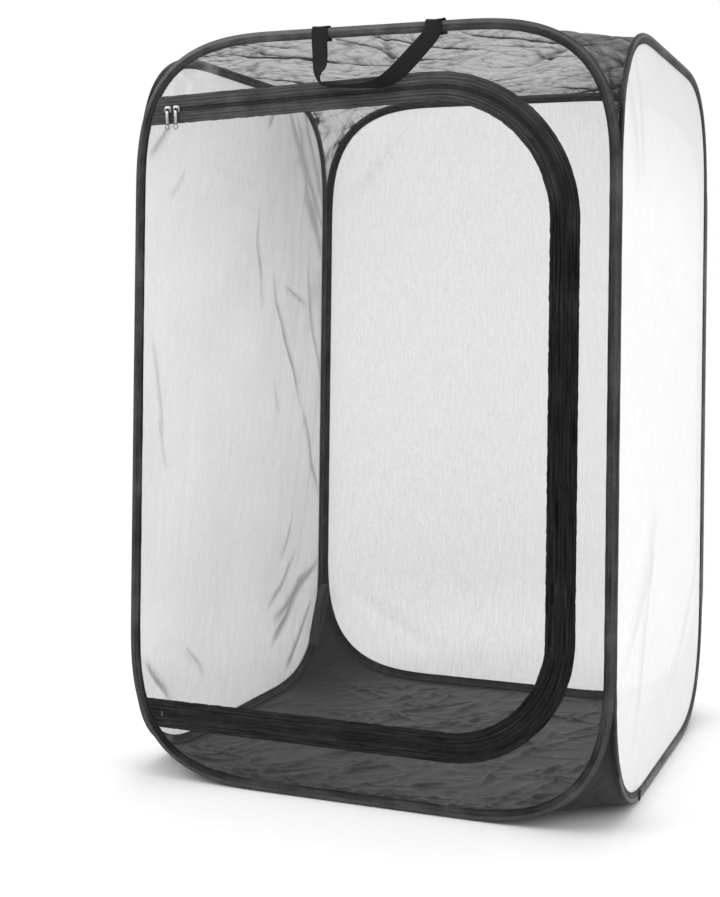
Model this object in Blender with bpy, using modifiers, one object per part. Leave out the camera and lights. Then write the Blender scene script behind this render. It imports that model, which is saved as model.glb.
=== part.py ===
"""Pop-up insect cage: four spring hoops in fabric binding, net walls, a clear zipped front, cloth floor and net roof.

Metres, +Z up. The origin is on the ground, in the middle of the floor. The front, with the zipped door, faces -Y.
"""
import math

import bmesh
import bpy
from mathutils import Matrix, Vector

# Overall size, over the bindings
cage_width = 0.600
cage_depth = 0.600
cage_height = 0.900

# Gap left between pieces that touch
clearance = 0.0003

# Outline of a hoop: a rounded rectangle whose corners are superellipse quarters
corner_reach = 0.195
corner_squareness = 2.95
corner_steps = 8
side_steps = 8

# Spring wire and the crimped sleeve that joins its ends
wire_diameter = 0.0022
wire_end_gap = 0.0008
sleeve_wall = 0.0004
sleeve_length = 0.030
round_steps = 12

# Binding tape, folded round the wire and sewn to the edge of the wall
binding_width = 0.0125
binding_wall = 0.0006
seam_lap = 0.005
cap_steps = 4

# Cloths
net_thickness = 0.0008
film_thickness = 0.0008
floor_thickness = 0.0010
roof_drop = 0.006

# Folds that show in the left wall and the roof
wall_fold_height = 0.0040
wall_fold_count = 9
wall_columns = 14
roof_fold_height = 0.0080
roof_fold_count = 5
roof_middle_steps = 2

# Zipper on the front: a run along the top that rises to the right, down the right side and along the bottom
zip_top_inset = 0.0745
zip_slope = math.radians(2.4)
zip_bottom = 0.078
zip_side_inset = 0.0615
zip_top_radius = 0.155
zip_foot_radius = 0.130
zip_corner_steps = 8
tape_reach = 0.017
tape_end_gap = 0.002
tape_thickness = 0.0008
tape_lap = 0.006
chain_width = 0.0022
chain_thickness = 0.0024
stop_length = 0.0025
fold_margin = 0.0040

# Zipper slider, an I section that runs on both chains, with a bail and a pull
slider_length = 0.009
slider_width = 0.009
slider_plate = 0.0011
slider_web = 0.0005
slider_spacing = 0.0025
bail_radius = 0.0006
bail_foot = 0.0011
bail_span = 0.0050
pull_width = 0.0042
pull_eye_wall = 0.0007
pull_thickness = 0.0010
pull_length = 0.025
eye_steps = 12

# Carry handle: webbing sewn over the top of the front hoop at two places
webbing_width = 0.020
webbing_thickness = 0.0012
handle_left = -0.056
handle_right = 0.084
handle_drop = 0.050
anchor_overhang = 0.001
# Centre line of the strap: shares of the span between its ends, of its drop, and of the webbing's width
handle_shares = [
    (0.00, 0.00, 1.00),
    (0.005, 0.35, 0.92),
    (0.03, 0.72, 0.66),
    (0.10, 0.95, 0.55),
    (0.25, 1.00, 0.55),
    (0.42, 1.00, 0.58),
    (0.58, 0.92, 0.70),
    (0.74, 0.72, 0.88),
    (0.90, 0.38, 1.00),
    (1.00, 0.00, 1.00),
]

# Tie loop at the back of the left wall
loop_height = 0.100
loop_depth = 0.022
loop_top = 0.140
loop_inset = 0.004
loop_tilt = math.radians(27)
loop_tape_width = 0.012
loop_tape_thickness = 0.0012
loop_steps = 20

# End of the right binding, folded over near the ground: how far round the lower front corner, and its lean
tab_length = 0.012
tab_width = 0.005
tab_thickness = 0.0010
tab_share = 0.88
tab_lean = math.radians(8)

# Values that follow from the sizes above
wire_radius = wire_diameter / 2
sleeve_inner = wire_radius + clearance
sleeve_outer = sleeve_inner + sleeve_wall
cavity_radius = (sleeve_outer + clearance) / math.cos(math.pi / cap_steps / 2)
binding_half = cavity_radius + binding_wall
binding_depth = 2 * binding_half
mouth_half = net_thickness / 2 + clearance
lip_half = mouth_half + binding_wall

half_width = cage_width / 2
half_depth = cage_depth / 2
front_plane = -(half_depth - binding_half)
side_plane = half_width - binding_half
inner_x = half_width - binding_depth
inner_y = half_depth - binding_depth
side_half = inner_y - clearance
panel_inset = binding_width - seam_lap

zip_top = cage_height - zip_top_inset
zip_right = half_width - zip_side_inset
tape_plane = front_plane - film_thickness / 2 - clearance - tape_thickness / 2
chain_gap = slider_web + 2 * clearance
chain_outer = chain_gap / 2 + chain_width
tape_inner = chain_outer + clearance
top_centre_x = zip_right - zip_top_radius
top_centre_z = zip_top - zip_top_radius
foot_centre_x = zip_right - zip_foot_radius
foot_centre_z = zip_bottom + zip_foot_radius


def corner_point(reach, share):
    """Point of a superellipse quarter, from (reach, 0) at share 0 to (0, reach) at share 1."""
    angle = share * math.pi / 2
    power = 2 / corner_squareness
    return reach * math.cos(angle) ** power, reach * math.sin(angle) ** power


def hoop_outline(half, inset):
    """Closed outline of a hoop of half width `half`, drawn in by `inset`, anticlockwise from the middle of its foot."""
    side = half - inset
    top = cage_height - inset
    reach = corner_reach - inset
    right = []
    for step in range(corner_steps + 1):
        across, up = corner_point(reach, 1 - step / corner_steps)
        right.append((side - reach + across, inset + reach - up))
    for step in range(corner_steps + 1):
        across, up = corner_point(reach, step / corner_steps)
        right.append((side - reach + across, top - reach + up))
    left = [(-across, up) for across, up in reversed(right)]
    return [(0, inset)] + right + [(0, top)] + left


def half_width_at(half, inset, height):
    """Half width of a hoop's outline at a height above the ground."""
    reach = corner_reach - inset
    into_corner = max(inset + reach - height, height - (cage_height - inset - reach), 0)
    share = min(into_corner / reach, 1)
    across = (1 - share ** corner_squareness) ** (1 / corner_squareness)
    return half - inset - reach + reach * across


def top_level(offset, x):
    """Height of the zipper's top run at x, for a line at a distance outside its centre."""
    radius = zip_top_radius + offset
    arc_x = top_centre_x - radius * math.sin(zip_slope)
    arc_z = top_centre_z + radius * math.cos(zip_slope)
    return arc_z - (arc_x - x) * math.tan(zip_slope)


def tape_end(offset, level=None):
    """Where a line of the zipper tape meets the front binding: on the top run, or at a level of the bottom run."""
    x = -half_width
    for _ in range(4):
        height = top_level(offset, x) if level is None else level - offset
        x = -half_width_at(half_width, binding_width + tape_end_gap, height)
    return x


top_end = tape_end(tape_reach)
foot_end = tape_end(tape_reach, zip_bottom)
chain_inset = stop_length + clearance
slider_left_x = top_end + chain_inset + clearance + slider_length / 2
slider_right_x = slider_left_x + slider_length + slider_spacing
door_fold = slider_right_x + slider_length / 2 + fold_margin
door_edge = door_fold + clearance

chain_front = tape_plane - chain_thickness / 2
slider_half = chain_thickness / 2 + clearance + slider_plate
pull_eye = bail_radius + clearance + pull_eye_wall
bail_plane = tape_plane - slider_half - clearance - pull_eye

anchor_inner = binding_half + clearance
anchor_outer = anchor_inner + webbing_thickness
anchor_foot = cage_height - binding_width - anchor_overhang
strap_plane = front_plane - anchor_inner - webbing_thickness / 2
strap_top = anchor_foot - clearance
handle_axis_y = strap_plane - webbing_thickness / 2 - clearance / 2
handle_axis_z = anchor_foot - clearance / 2


def start_scene():
    """Empties the scene and makes a collection for the parts and one for the guides."""
    for old in list(bpy.data.objects):
        bpy.data.objects.remove(old, do_unlink=True)
    parts = bpy.data.collections.new("insect_cage")
    guides = bpy.data.collections.new("guides")
    bpy.context.scene.collection.children.link(parts)
    bpy.context.scene.collection.children.link(guides)
    return parts, guides


part_collection, guide_collection = start_scene()


def look(name, colour, roughness, metallic=0.0, alpha=1.0):
    """A Principled material for one piece."""
    material = bpy.data.materials.new(name + "_finish")
    material.use_nodes = True
    shader = material.node_tree.nodes["Principled BSDF"]
    shader.inputs["Base Color"].default_value = (*colour, 1)
    shader.inputs["Roughness"].default_value = roughness
    shader.inputs["Metallic"].default_value = metallic
    shader.inputs["Alpha"].default_value = alpha
    material.diffuse_color = (*colour, alpha)
    return material


grey_tape = ((0.085, 0.085, 0.088), 0.85)
black_tape = ((0.025, 0.025, 0.027), 0.8)
white_net = ((0.78, 0.78, 0.78), 0.9, 0.0, 0.85)
black_net = ((0.03, 0.03, 0.032), 0.9, 0.0, 0.75)
clear_film = ((0.9, 0.9, 0.9), 0.12, 0.0, 0.2)
dark_cloth = ((0.045, 0.045, 0.048), 0.8)
spring_steel = ((0.35, 0.35, 0.36), 0.35, 1.0)
plated_steel = ((0.62, 0.62, 0.63), 0.28, 1.0)
nylon_coil = ((0.02, 0.02, 0.022), 0.45)


def axis_empty(name, place, parent=None):
    """An empty that stands on a joint's axis and carries the moving pieces."""
    empty = bpy.data.objects.new(name, None)
    part_collection.objects.link(empty)
    empty.location = place
    if parent:
        empty.parent = parent
        empty.matrix_parent_inverse = parent.matrix_world.inverted()
    bpy.context.view_layer.update()
    return empty


def finish_piece(piece, finish, carrier):
    """Links a piece, gives it its own material and hangs it from what carries it."""
    part_collection.objects.link(piece)
    piece.data.materials.append(look(piece.name, *finish))
    if carrier:
        piece.parent = carrier
        piece.matrix_parent_inverse = carrier.matrix_world.inverted()
    return piece


# Turns that stand a flat outline up: its x runs along the wall, its y goes up
facing_front = Matrix.Rotation(math.pi / 2, 4, "X")
facing_side = Matrix.Rotation(math.pi / 2, 4, "Z") @ facing_front
# Turns for small sections: one seen from the side, and one lying in a level plane with its y out of the front
facing_side_section = Matrix.Rotation(-math.pi / 2, 4, "Z") @ facing_front
lying_front = Matrix.Rotation(math.pi, 4, "X")
# Turn that tilts the sliders along the zipper's top run
along_run = Matrix.Rotation(-zip_slope, 4, "Y")


def flat_piece(name, loops, thickness, place, turn, finish, carrier=None):
    """A flat outline, with any holes, given a thickness; each loop is a list of points in the plane."""
    outline = bpy.data.curves.new(name, "CURVE")
    outline.dimensions = "2D"
    outline.fill_mode = "BOTH"
    outline.extrude = thickness / 2
    for loop in loops:
        spline = outline.splines.new("POLY")
        spline.points.add(len(loop) - 1)
        for point, (across, up) in zip(spline.points, loop):
            point.co = (across, up, 0, 1)
        spline.use_cyclic_u = True
    piece = bpy.data.objects.new(name, outline)
    piece.matrix_world = Matrix.Translation(place) @ turn
    return finish_piece(piece, finish, carrier)


def swept_piece(name, path, closed, place, turn, finish, carrier=None, profile=None, radius=0.0):
    """A round wire, or a profile, that follows a flat path."""
    route = bpy.data.curves.new(name, "CURVE")
    route.dimensions = "2D" if profile else "3D"
    route.fill_mode = "NONE" if profile else "FULL"
    if profile:
        route.bevel_mode = "OBJECT"
        route.bevel_object = profile
    else:
        route.bevel_depth = radius
        route.bevel_resolution = 2
        route.use_fill_caps = not closed
    spline = route.splines.new("POLY")
    spline.points.add(len(path) - 1)
    for point, (across, up) in zip(spline.points, path):
        point.co = (across, up, 0, 1)
    spline.use_cyclic_u = closed
    piece = bpy.data.objects.new(name, route)
    piece.matrix_world = Matrix.Translation(place) @ turn
    return finish_piece(piece, finish, carrier)


def binding_profile():
    """Section of the binding round the wire: x points into the hoop from the wire's centre, y across the wall."""
    lip = binding_width - binding_half
    arc = [math.pi / 2 + math.pi * step / cap_steps for step in range(cap_steps + 1)]
    outer = [(lip, lip_half)] + [(binding_half * math.cos(a), binding_half * math.sin(a)) for a in arc]
    outer.append((lip, -lip_half))
    inner = [(lip, -mouth_half)]
    inner += [(cavity_radius * math.cos(a), cavity_radius * math.sin(a)) for a in reversed(arc)]
    inner.append((lip, mouth_half))
    section = bpy.data.curves.new("binding_section", "CURVE")
    section.dimensions = "2D"
    section.fill_mode = "NONE"
    spline = section.splines.new("POLY")
    points = list(reversed(outer + inner))
    spline.points.add(len(points) - 1)
    for point, (inward, across) in zip(spline.points, points):
        point.co = (inward, across, 0, 1)
    spline.use_cyclic_u = True
    guide = bpy.data.objects.new("binding_section", section)
    guide.hide_render = True
    guide.display_type = "WIRE"
    guide_collection.objects.link(guide)
    return guide


binding_section = binding_profile()


def add_hoop(name, half, place, turn, carrier=None):
    """Binding, spring wire and crimped sleeve of one wall."""
    centre_line = hoop_outline(half, binding_half)
    swept_piece(name + "_binding", centre_line, True, place, turn, grey_tape, carrier, profile=binding_section)
    foot = centre_line[0][1]
    start = (wire_end_gap / 2, foot)
    end = (-wire_end_gap / 2, foot)
    wire = [start] + centre_line[1:] + [end]
    swept_piece(name + "_spring_hoop", wire, False, place, turn, spring_steel, carrier, radius=wire_radius)
    add_sleeve(name + "_hoop_sleeve", foot, place, turn, carrier)


def add_sleeve(name, foot, place, turn, carrier):
    """Crimped sleeve round the wire's ends, turned about the wire."""
    mesh = bpy.data.meshes.new(name)
    half = sleeve_length / 2
    corners = [(sleeve_outer, half), (sleeve_outer, -half), (sleeve_inner, -half), (sleeve_inner, half)]
    shape = bmesh.new()
    ring = [shape.verts.new((radius, 0, height)) for radius, height in corners]
    for index, corner in enumerate(ring):
        shape.edges.new((corner, ring[(index + 1) % len(ring)]))
    shape.to_mesh(mesh)
    shape.free()
    sleeve = bpy.data.objects.new(name, mesh)
    turned = sleeve.modifiers.new("turned", "SCREW")
    turned.steps = round_steps
    turned.render_steps = round_steps
    turned.use_merge_vertices = True
    turned.merge_threshold = clearance / 10
    along_wire = Matrix.Translation((0, foot, 0)) @ Matrix.Rotation(math.pi / 2, 4, "Y")
    sleeve.matrix_world = Matrix.Translation(place) @ turn @ along_wire
    finish_piece(sleeve, plated_steel, carrier)


def thicken(piece, thickness):
    """Gives an open surface its thickness, half to each side."""
    shell = piece.modifiers.new("thickness", "SOLIDIFY")
    shell.thickness = thickness
    shell.offset = 0


def grid_mesh(name, columns, rows, place_point):
    """A grid primitive whose points are moved to place_point(column, row)."""
    shape = bmesh.new()
    bmesh.ops.create_grid(shape, x_segments=columns, y_segments=rows, size=1)
    for point in shape.verts:
        column = round((point.co.x + 1) / 2 * columns)
        row = round((point.co.y + 1) / 2 * rows)
        point.co = place_point(column, row)
    mesh = bpy.data.meshes.new(name)
    shape.to_mesh(mesh)
    shape.free()
    mesh.shade_smooth()
    return mesh


def add_folded_wall(name, place, turn, finish, carrier):
    """The left wall: net with folds that fan out from its upper back corner."""
    outline = hoop_outline(side_half, panel_inset)
    corner_up = 2 * (corner_steps + 1)
    right = outline[1:corner_up + 1]
    lower, upper = right[:corner_steps + 1], right[corner_steps + 1:]
    middle = []
    for step in range(1, side_steps):
        share = step / side_steps
        middle.append((lower[-1][0], lower[-1][1] + share * (upper[0][1] - lower[-1][1])))
    edge = lower + middle + upper

    def wall_point(column, row):
        reach, up = edge[row]
        along = (2 * column / wall_columns - 1) * reach
        from_edge = (1 - (along / side_half) ** 2) * (1 - (2 * up / cage_height - 1) ** 2)
        angle = math.atan2(cage_height - up, side_half - along)
        fold = math.sin(2 * wall_fold_count * angle) * from_edge * wall_fold_height
        return along, up, fold

    mesh = grid_mesh(name, wall_columns, len(edge) - 1, wall_point)
    wall = bpy.data.objects.new(name, mesh)
    wall.matrix_world = Matrix.Translation(place) @ turn
    thicken(wall, net_thickness)
    finish_piece(wall, finish, carrier)


def cloth_lines(edge, reach, middle_steps):
    """Distances from the middle at which a floor or roof has its rows: close together in the corners."""
    near = [edge - reach + corner_point(reach, 1 - step / corner_steps)[0] for step in range(corner_steps + 1)]
    half = [near[0] * step / middle_steps for step in range(1, middle_steps)] + near
    return [-value for value in reversed(half)] + [0] + half


def corner_rise(edge_x, edge_y, reach, across, along):
    """How far a floor or roof has left its flat part where it bends into a corner between two hoops."""
    inside = edge_x - abs(across) + edge_y - abs(along)
    share = max(1 - inside / reach, 0)
    return reach * (1 - (1 - share ** corner_squareness) ** (1 / corner_squareness))


def add_end_cloth(name, level, direction, thickness, fold_height, middle_steps, finish):
    """Floor or roof: flat in the middle, running up or down between the hoops' round corners."""
    edge_x = inner_x - clearance - thickness / 2
    edge_y = inner_y - clearance - thickness / 2
    reach = corner_reach - (level if direction > 0 else cage_height - level)
    columns = cloth_lines(edge_x, reach, middle_steps)
    rows = cloth_lines(edge_y, reach, middle_steps)

    def cloth_point(column, row):
        across, along = columns[column], rows[row]
        rise = corner_rise(edge_x, edge_y, reach, across, along)
        inward = (1 - (across / edge_x) ** 2) * (1 - (along / edge_y) ** 2)
        angle = roof_fold_count * math.pi * (across / edge_x + along / edge_y) / 2
        return across, along, level + direction * rise - fold_height * inward * (1 + math.sin(angle)) / 2

    mesh = grid_mesh(name, len(columns) - 1, len(rows) - 1, cloth_point)
    cloth = bpy.data.objects.new(name, mesh)
    thicken(cloth, thickness)
    finish_piece(cloth, finish, None)


def zip_line(offset, top_start, foot_start):
    """Line at a distance outside the zipper's centre, from its upper to its lower end."""
    points = [(top_start, top_level(offset, top_start))]
    radius = zip_top_radius + offset
    for step in range(zip_corner_steps + 1):
        angle = (math.pi / 2 + zip_slope) * (1 - step / zip_corner_steps)
        points.append((top_centre_x + radius * math.cos(angle), top_centre_z + radius * math.sin(angle)))
    radius = zip_foot_radius + offset
    for step in range(zip_corner_steps + 1):
        angle = -math.pi / 2 * step / zip_corner_steps
        points.append((foot_centre_x + radius * math.cos(angle), foot_centre_z + radius * math.sin(angle)))
    points.append((foot_start, zip_bottom - offset))
    return points


def zip_strip(near, far, top_start, foot_start):
    """Outline of a strip of the zipper between two distances from its centre line, cut upright at its ends."""
    return zip_line(far, top_start, foot_start) + list(reversed(zip_line(near, top_start, foot_start)))


def tape_line(offset):
    """Line of the outer tape, which runs up to the front binding at both ends."""
    return zip_line(offset, tape_end(offset), tape_end(offset, zip_bottom))


def run_strip(near, far, top, start, end):
    """Outline of a strip on the top or the bottom run; a start or end of None is where it meets the binding."""
    corners = []
    for offset, x in ((near, start), (near, end), (far, end), (far, start)):
        if x is None:
            x = tape_end(offset) if top else tape_end(offset, zip_bottom)
        corners.append((x, top_level(offset, x) if top else zip_bottom - offset))
    return corners


def box_outline(low_x, high_x, low_z, high_z):
    """A rectangle in the plane of the front."""
    return [(low_x, low_z), (high_x, low_z), (high_x, high_z), (low_x, high_z)]


def add_front_wall(door):
    """Clear margin round the door, the door, and the zipper's tapes and chains."""
    film_place = (0, front_plane, 0)
    tape_place = (0, tape_plane, 0)
    film_edge = tape_reach - tape_lap
    notch = [
        (foot_end, zip_bottom + film_edge),
        (door_fold, zip_bottom + film_edge),
        (door_fold, top_level(-film_edge, door_fold)),
        (top_end, top_level(-film_edge, top_end)),
    ]
    hole = zip_line(film_edge, top_end, foot_end) + notch
    margin = [hoop_outline(half_width, panel_inset), hole]
    flat_piece("film_margin", margin, film_thickness, film_place, facing_front, clear_film)
    door_outline = zip_line(-film_edge, door_edge, door_edge)
    flat_piece("door_film", [door_outline], film_thickness, film_place, facing_front, clear_film, door)
    outer_tape = tape_line(tape_reach) + list(reversed(tape_line(tape_inner)))
    flat_piece("zip_outer_tape", [outer_tape], tape_thickness, tape_place, facing_front, black_tape)
    inner_tape = zip_strip(-tape_reach, -tape_inner, door_edge, door_edge)
    flat_piece("zip_inner_tape", [inner_tape], tape_thickness, tape_place, facing_front, black_tape, door)
    outer_chain = zip_strip(chain_gap / 2, chain_outer, top_end + chain_inset, foot_end + chain_inset)
    flat_piece("zip_outer_chain", [outer_chain], chain_thickness, tape_place, facing_front, nylon_coil)
    inner_chain = zip_strip(-chain_outer, -chain_gap / 2, door_edge, door_edge)
    flat_piece("zip_inner_chain", [inner_chain], chain_thickness, tape_place, facing_front, nylon_coil, door)
    for end, top, start in (("top", True, top_end), ("bottom", False, foot_end)):
        tape = run_strip(-tape_reach, -tape_inner, top, None, door_fold)
        chain = run_strip(-chain_outer, -chain_gap / 2, top, start + chain_inset, door_fold)
        stop = run_strip(-chain_outer, chain_outer, top, start, start + stop_length)
        flat_piece("zip_end_tape_" + end, [tape], tape_thickness, tape_place, facing_front, black_tape)
        flat_piece("zip_end_chain_" + end, [chain], chain_thickness, tape_place, facing_front, nylon_coil)
        flat_piece("zip_stop_" + end, [stop], chain_thickness, tape_place, facing_front, plated_steel)


def circle_points(centre, radius, steps):
    """Points round a circle."""
    turns = [2 * math.pi * step / steps for step in range(steps)]
    return [(centre[0] + radius * math.cos(turn), centre[1] + radius * math.sin(turn)) for turn in turns]


def add_slider(name, x, carrier, pull_carrier):
    """Slider body, its bail and the pull that hangs from the bail. The section's x runs out of the front."""
    channel = chain_thickness / 2 + clearance
    flange = tape_thickness / 2 + clearance
    wall = chain_outer + clearance
    side = slider_width / 2
    web = slider_web / 2
    quarter = [(channel, web), (channel, wall), (flange, wall), (flange, side), (slider_half, side)]
    plate = quarter + [(depth, -up) for depth, up in reversed(quarter)]
    section = plate + [(-depth, -up) for depth, up in plate]
    level = top_level(0, x)
    section_turn = along_run @ facing_side_section
    flat_piece(name, [section], slider_length, (x, tape_plane, level), section_turn, plated_steel, carrier)

    outer = bail_span / 2 + bail_foot
    rise = pull_eye + bail_radius
    arch = [
        (-outer, 0), (-outer, rise), (outer, rise), (outer, 0),
        (bail_span / 2, 0), (bail_span / 2, rise - 2 * bail_radius),
        (-bail_span / 2, rise - 2 * bail_radius), (-bail_span / 2, 0),
    ]
    bail_place = (x, tape_plane - slider_half - clearance, level)
    flat_piece(name + "_bail", [arch], 2 * bail_radius, bail_place, along_run @ lying_front, plated_steel, carrier)

    half = pull_thickness / 2
    start_angle = math.asin(half / pull_eye)
    turns = [start_angle + (2 * math.pi - 2 * start_angle) * step / eye_steps for step in range(eye_steps + 1)]
    ring = [(pull_eye * math.sin(turn), -pull_eye * math.cos(turn)) for turn in turns]
    outline = ring + [(-half, -pull_length), (half, -pull_length)]
    eye = circle_points((0, 0), bail_radius * math.sqrt(2) + clearance, eye_steps)
    pull_place = (x, bail_plane, level)
    flat_piece(name + "_pull", [outline, eye], pull_width, pull_place, section_turn, plated_steel, pull_carrier)


def add_handle(carrier):
    """Two sewn loops over the front hoop and the strap that hangs between them."""
    top = cage_height + clearance
    over = top + webbing_thickness
    back_foot = cage_height - roof_drop + net_thickness / 2 + clearance
    wrap = [
        (anchor_outer, anchor_foot), (anchor_outer, cage_height), (anchor_inner, over),
        (-anchor_inner, over), (-anchor_outer, cage_height), (-anchor_outer, back_foot),
        (-anchor_inner, back_foot), (-anchor_inner, top), (anchor_inner, top), (anchor_inner, anchor_foot),
    ]
    for name, x in (("handle_anchor_left", handle_left), ("handle_anchor_right", handle_right)):
        flat_piece(name, [wrap], webbing_width, (x, front_plane, 0), facing_side_section, black_tape)

    span = handle_right - handle_left
    centre = [
        Vector((handle_left + span * across, strap_top - handle_drop * down))
        for across, down, _ in handle_shares
    ]
    left_edge, right_edge = [], []
    last = len(centre) - 1
    for index, point in enumerate(centre):
        ahead = centre[min(index + 1, last)] - centre[max(index - 1, 0)]
        if index in (0, last):
            ahead = Vector((0, -1)) if index == 0 else Vector((0, 1))
        side = Vector((ahead.y, -ahead.x)).normalized() * webbing_width / 2 * handle_shares[index][2]
        left_edge.append(tuple(point + side))
        right_edge.append(tuple(point - side))
    outline = left_edge + list(reversed(right_edge))
    place = (0, strap_plane, 0)
    flat_piece("handle_strap", [outline], webbing_thickness, place, facing_front, black_tape, carrier)


def add_tie_loop(carrier):
    """Tape loop sewn to the left binding near the back seam, low down."""
    down = Vector((-math.sin(loop_tilt), -math.cos(loop_tilt)))
    aside = Vector((math.cos(loop_tilt), -math.sin(loop_tilt)))
    centre = Vector((side_half - binding_half - loop_inset, loop_top)) + down * loop_height / 2

    def ring(half_depth_here, half_height_here):
        points = []
        for step in range(loop_steps):
            angle = 2 * math.pi * step / loop_steps
            point = centre + aside * half_depth_here * math.cos(angle) - down * half_height_here * math.sin(angle)
            points.append(tuple(point))
        return points

    outer = ring(loop_depth / 2, loop_height / 2)
    inner = ring(loop_depth / 2 - loop_tape_thickness, loop_height / 2 - loop_tape_thickness)
    place = (-inner_x + clearance + loop_tape_width / 2, 0, 0)
    flat_piece("tie_loop", [outer, inner], loop_tape_width, place, facing_side, grey_tape, carrier)


def add_binding_tab(carrier):
    """Folded end of the right binding, low at its front corner."""
    middle = binding_width / 2
    reach = corner_reach - middle
    across, up = corner_point(reach, tab_share)
    along = -(side_half - middle - reach + across)
    level = middle + reach - up
    half_length, half_tab = tab_length / 2, tab_width / 2
    corners = box_outline(-half_tab, half_tab, -half_length, half_length)
    turn = Matrix.Rotation(-tab_lean, 4, "X") @ facing_side
    place = (half_width + clearance + tab_thickness / 2, along, level)
    flat_piece("right_binding_tab", [corners], tab_thickness, place, turn, black_tape, carrier)


def add_cage():
    """All pieces, on the empties of their joints."""
    left = axis_empty("fold_left_axis", (-inner_x, -side_half, 0))
    right = axis_empty("fold_right_axis", (half_width, -side_half, 0))
    back = axis_empty("fold_back_axis", (-half_width, side_half, 0), left)
    door = axis_empty("door_axis", (door_fold, chain_front - clearance, 0))
    handle = axis_empty("handle_axis", (0, handle_axis_y, handle_axis_z))

    add_hoop("front", half_width, (0, front_plane, 0), facing_front)
    add_hoop("left", side_half, (-side_plane, 0, 0), facing_side, left)
    add_hoop("right", side_half, (side_plane, 0, 0), facing_side, right)
    add_hoop("back", half_width, (0, -front_plane, 0), facing_front, back)

    back_outline = hoop_outline(half_width, panel_inset)
    flat_piece("back_net", [back_outline], net_thickness, (0, -front_plane, 0), facing_front, white_net, back)
    side_outline = hoop_outline(side_half, panel_inset)
    flat_piece("right_net", [side_outline], net_thickness, (side_plane, 0, 0), facing_side, white_net, right)
    add_folded_wall("left_net", (-side_plane, 0, 0), facing_side, white_net, left)

    add_end_cloth("floor_cloth", floor_thickness / 2, 1, floor_thickness, 0, 1, dark_cloth)
    roof_level = cage_height - roof_drop
    add_end_cloth("roof_net", roof_level, -1, net_thickness, roof_fold_height, roof_middle_steps, black_net)

    add_front_wall(door)
    for name, x in (("slider_left", slider_left_x), ("slider_right", slider_right_x)):
        level = top_level(0, x)
        body_axis = axis_empty(name + "_axis", (x, tape_plane, level))
        pull_axis = axis_empty(name + "_pull_axis", (x, bail_plane, level), body_axis)
        add_slider(name, x, body_axis, pull_axis)
    add_handle(handle)
    add_tie_loop(left)
    add_binding_tab(right)


add_cage()
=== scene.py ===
"""Looks of the insect cage, its camera and light.

Metres, +Z up, the zipped front faces -Y, as in the CAD. Each wall has flat coordinates: across, up and out.
"""
import math
import random
from math import cos, pi, radians, sin, tau

import bmesh
import bpy
import numpy as np
from mathutils import Matrix, Vector, geometry, noise


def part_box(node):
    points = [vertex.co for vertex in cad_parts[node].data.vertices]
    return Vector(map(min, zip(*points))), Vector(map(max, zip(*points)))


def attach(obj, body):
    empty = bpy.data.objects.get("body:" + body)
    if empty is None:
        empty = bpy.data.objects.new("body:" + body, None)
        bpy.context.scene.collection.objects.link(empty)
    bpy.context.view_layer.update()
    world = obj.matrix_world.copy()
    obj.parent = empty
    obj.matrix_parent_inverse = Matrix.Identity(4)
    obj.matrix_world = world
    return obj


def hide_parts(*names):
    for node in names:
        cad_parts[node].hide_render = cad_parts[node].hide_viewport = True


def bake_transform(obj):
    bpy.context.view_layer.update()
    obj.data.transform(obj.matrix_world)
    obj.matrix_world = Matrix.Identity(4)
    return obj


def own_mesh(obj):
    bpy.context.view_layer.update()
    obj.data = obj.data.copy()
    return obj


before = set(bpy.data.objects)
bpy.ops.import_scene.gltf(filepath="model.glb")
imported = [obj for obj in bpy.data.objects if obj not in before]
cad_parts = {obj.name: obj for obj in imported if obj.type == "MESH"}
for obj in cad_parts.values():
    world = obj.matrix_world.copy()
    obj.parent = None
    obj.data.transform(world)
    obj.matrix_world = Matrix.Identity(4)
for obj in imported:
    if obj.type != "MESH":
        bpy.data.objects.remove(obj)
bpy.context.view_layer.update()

# Sizes of the CAD, which the pieces are fitted to
half_width = 0.300
cage_height = 0.900
side_half = 0.29395
wall_plane = 0.29713
inner_edge = 0.29425
corner_reach = 0.195
corner_squareness = 2.95
binding_half = 0.00287
binding_width = 0.0125
panel_inset = 0.0075
roof_level = 0.894
clearance = 0.0003

zip_top = 0.8255
zip_slope = radians(2.4)
zip_bottom = 0.078
zip_right = 0.2385
zip_top_radius = 0.155
zip_foot_radius = 0.130
top_end = -0.2631
foot_end = -0.25548
chain_inset = 0.0028
door_fold = -0.2355
door_edge = -0.2352
tape_start = -0.2850
tape_plane = -0.29823
tape_half = 0.0004
chain_middle = 0.00165
coil_pitch = 0.0013
film_edge = 0.011
slider_xs = {"left": -0.2555, "right": -0.2440}
bail_plane = -0.30273

handle_left = -0.056
handle_right = 0.084
webbing_width = 0.020
webbing_half = 0.0006

view_width = 720
view_height = 897

walls = ("front", "left", "right", "back")
outward = {"front": (0, -1), "right": (1, 0), "back": (0, 1), "left": (-1, 0)}
half_of = {"front": half_width, "back": half_width, "left": side_half, "right": side_half}


def add_object(name, data):
    made = bpy.data.objects.new(name, data)
    bpy.context.scene.collection.objects.link(made)
    return made


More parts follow.
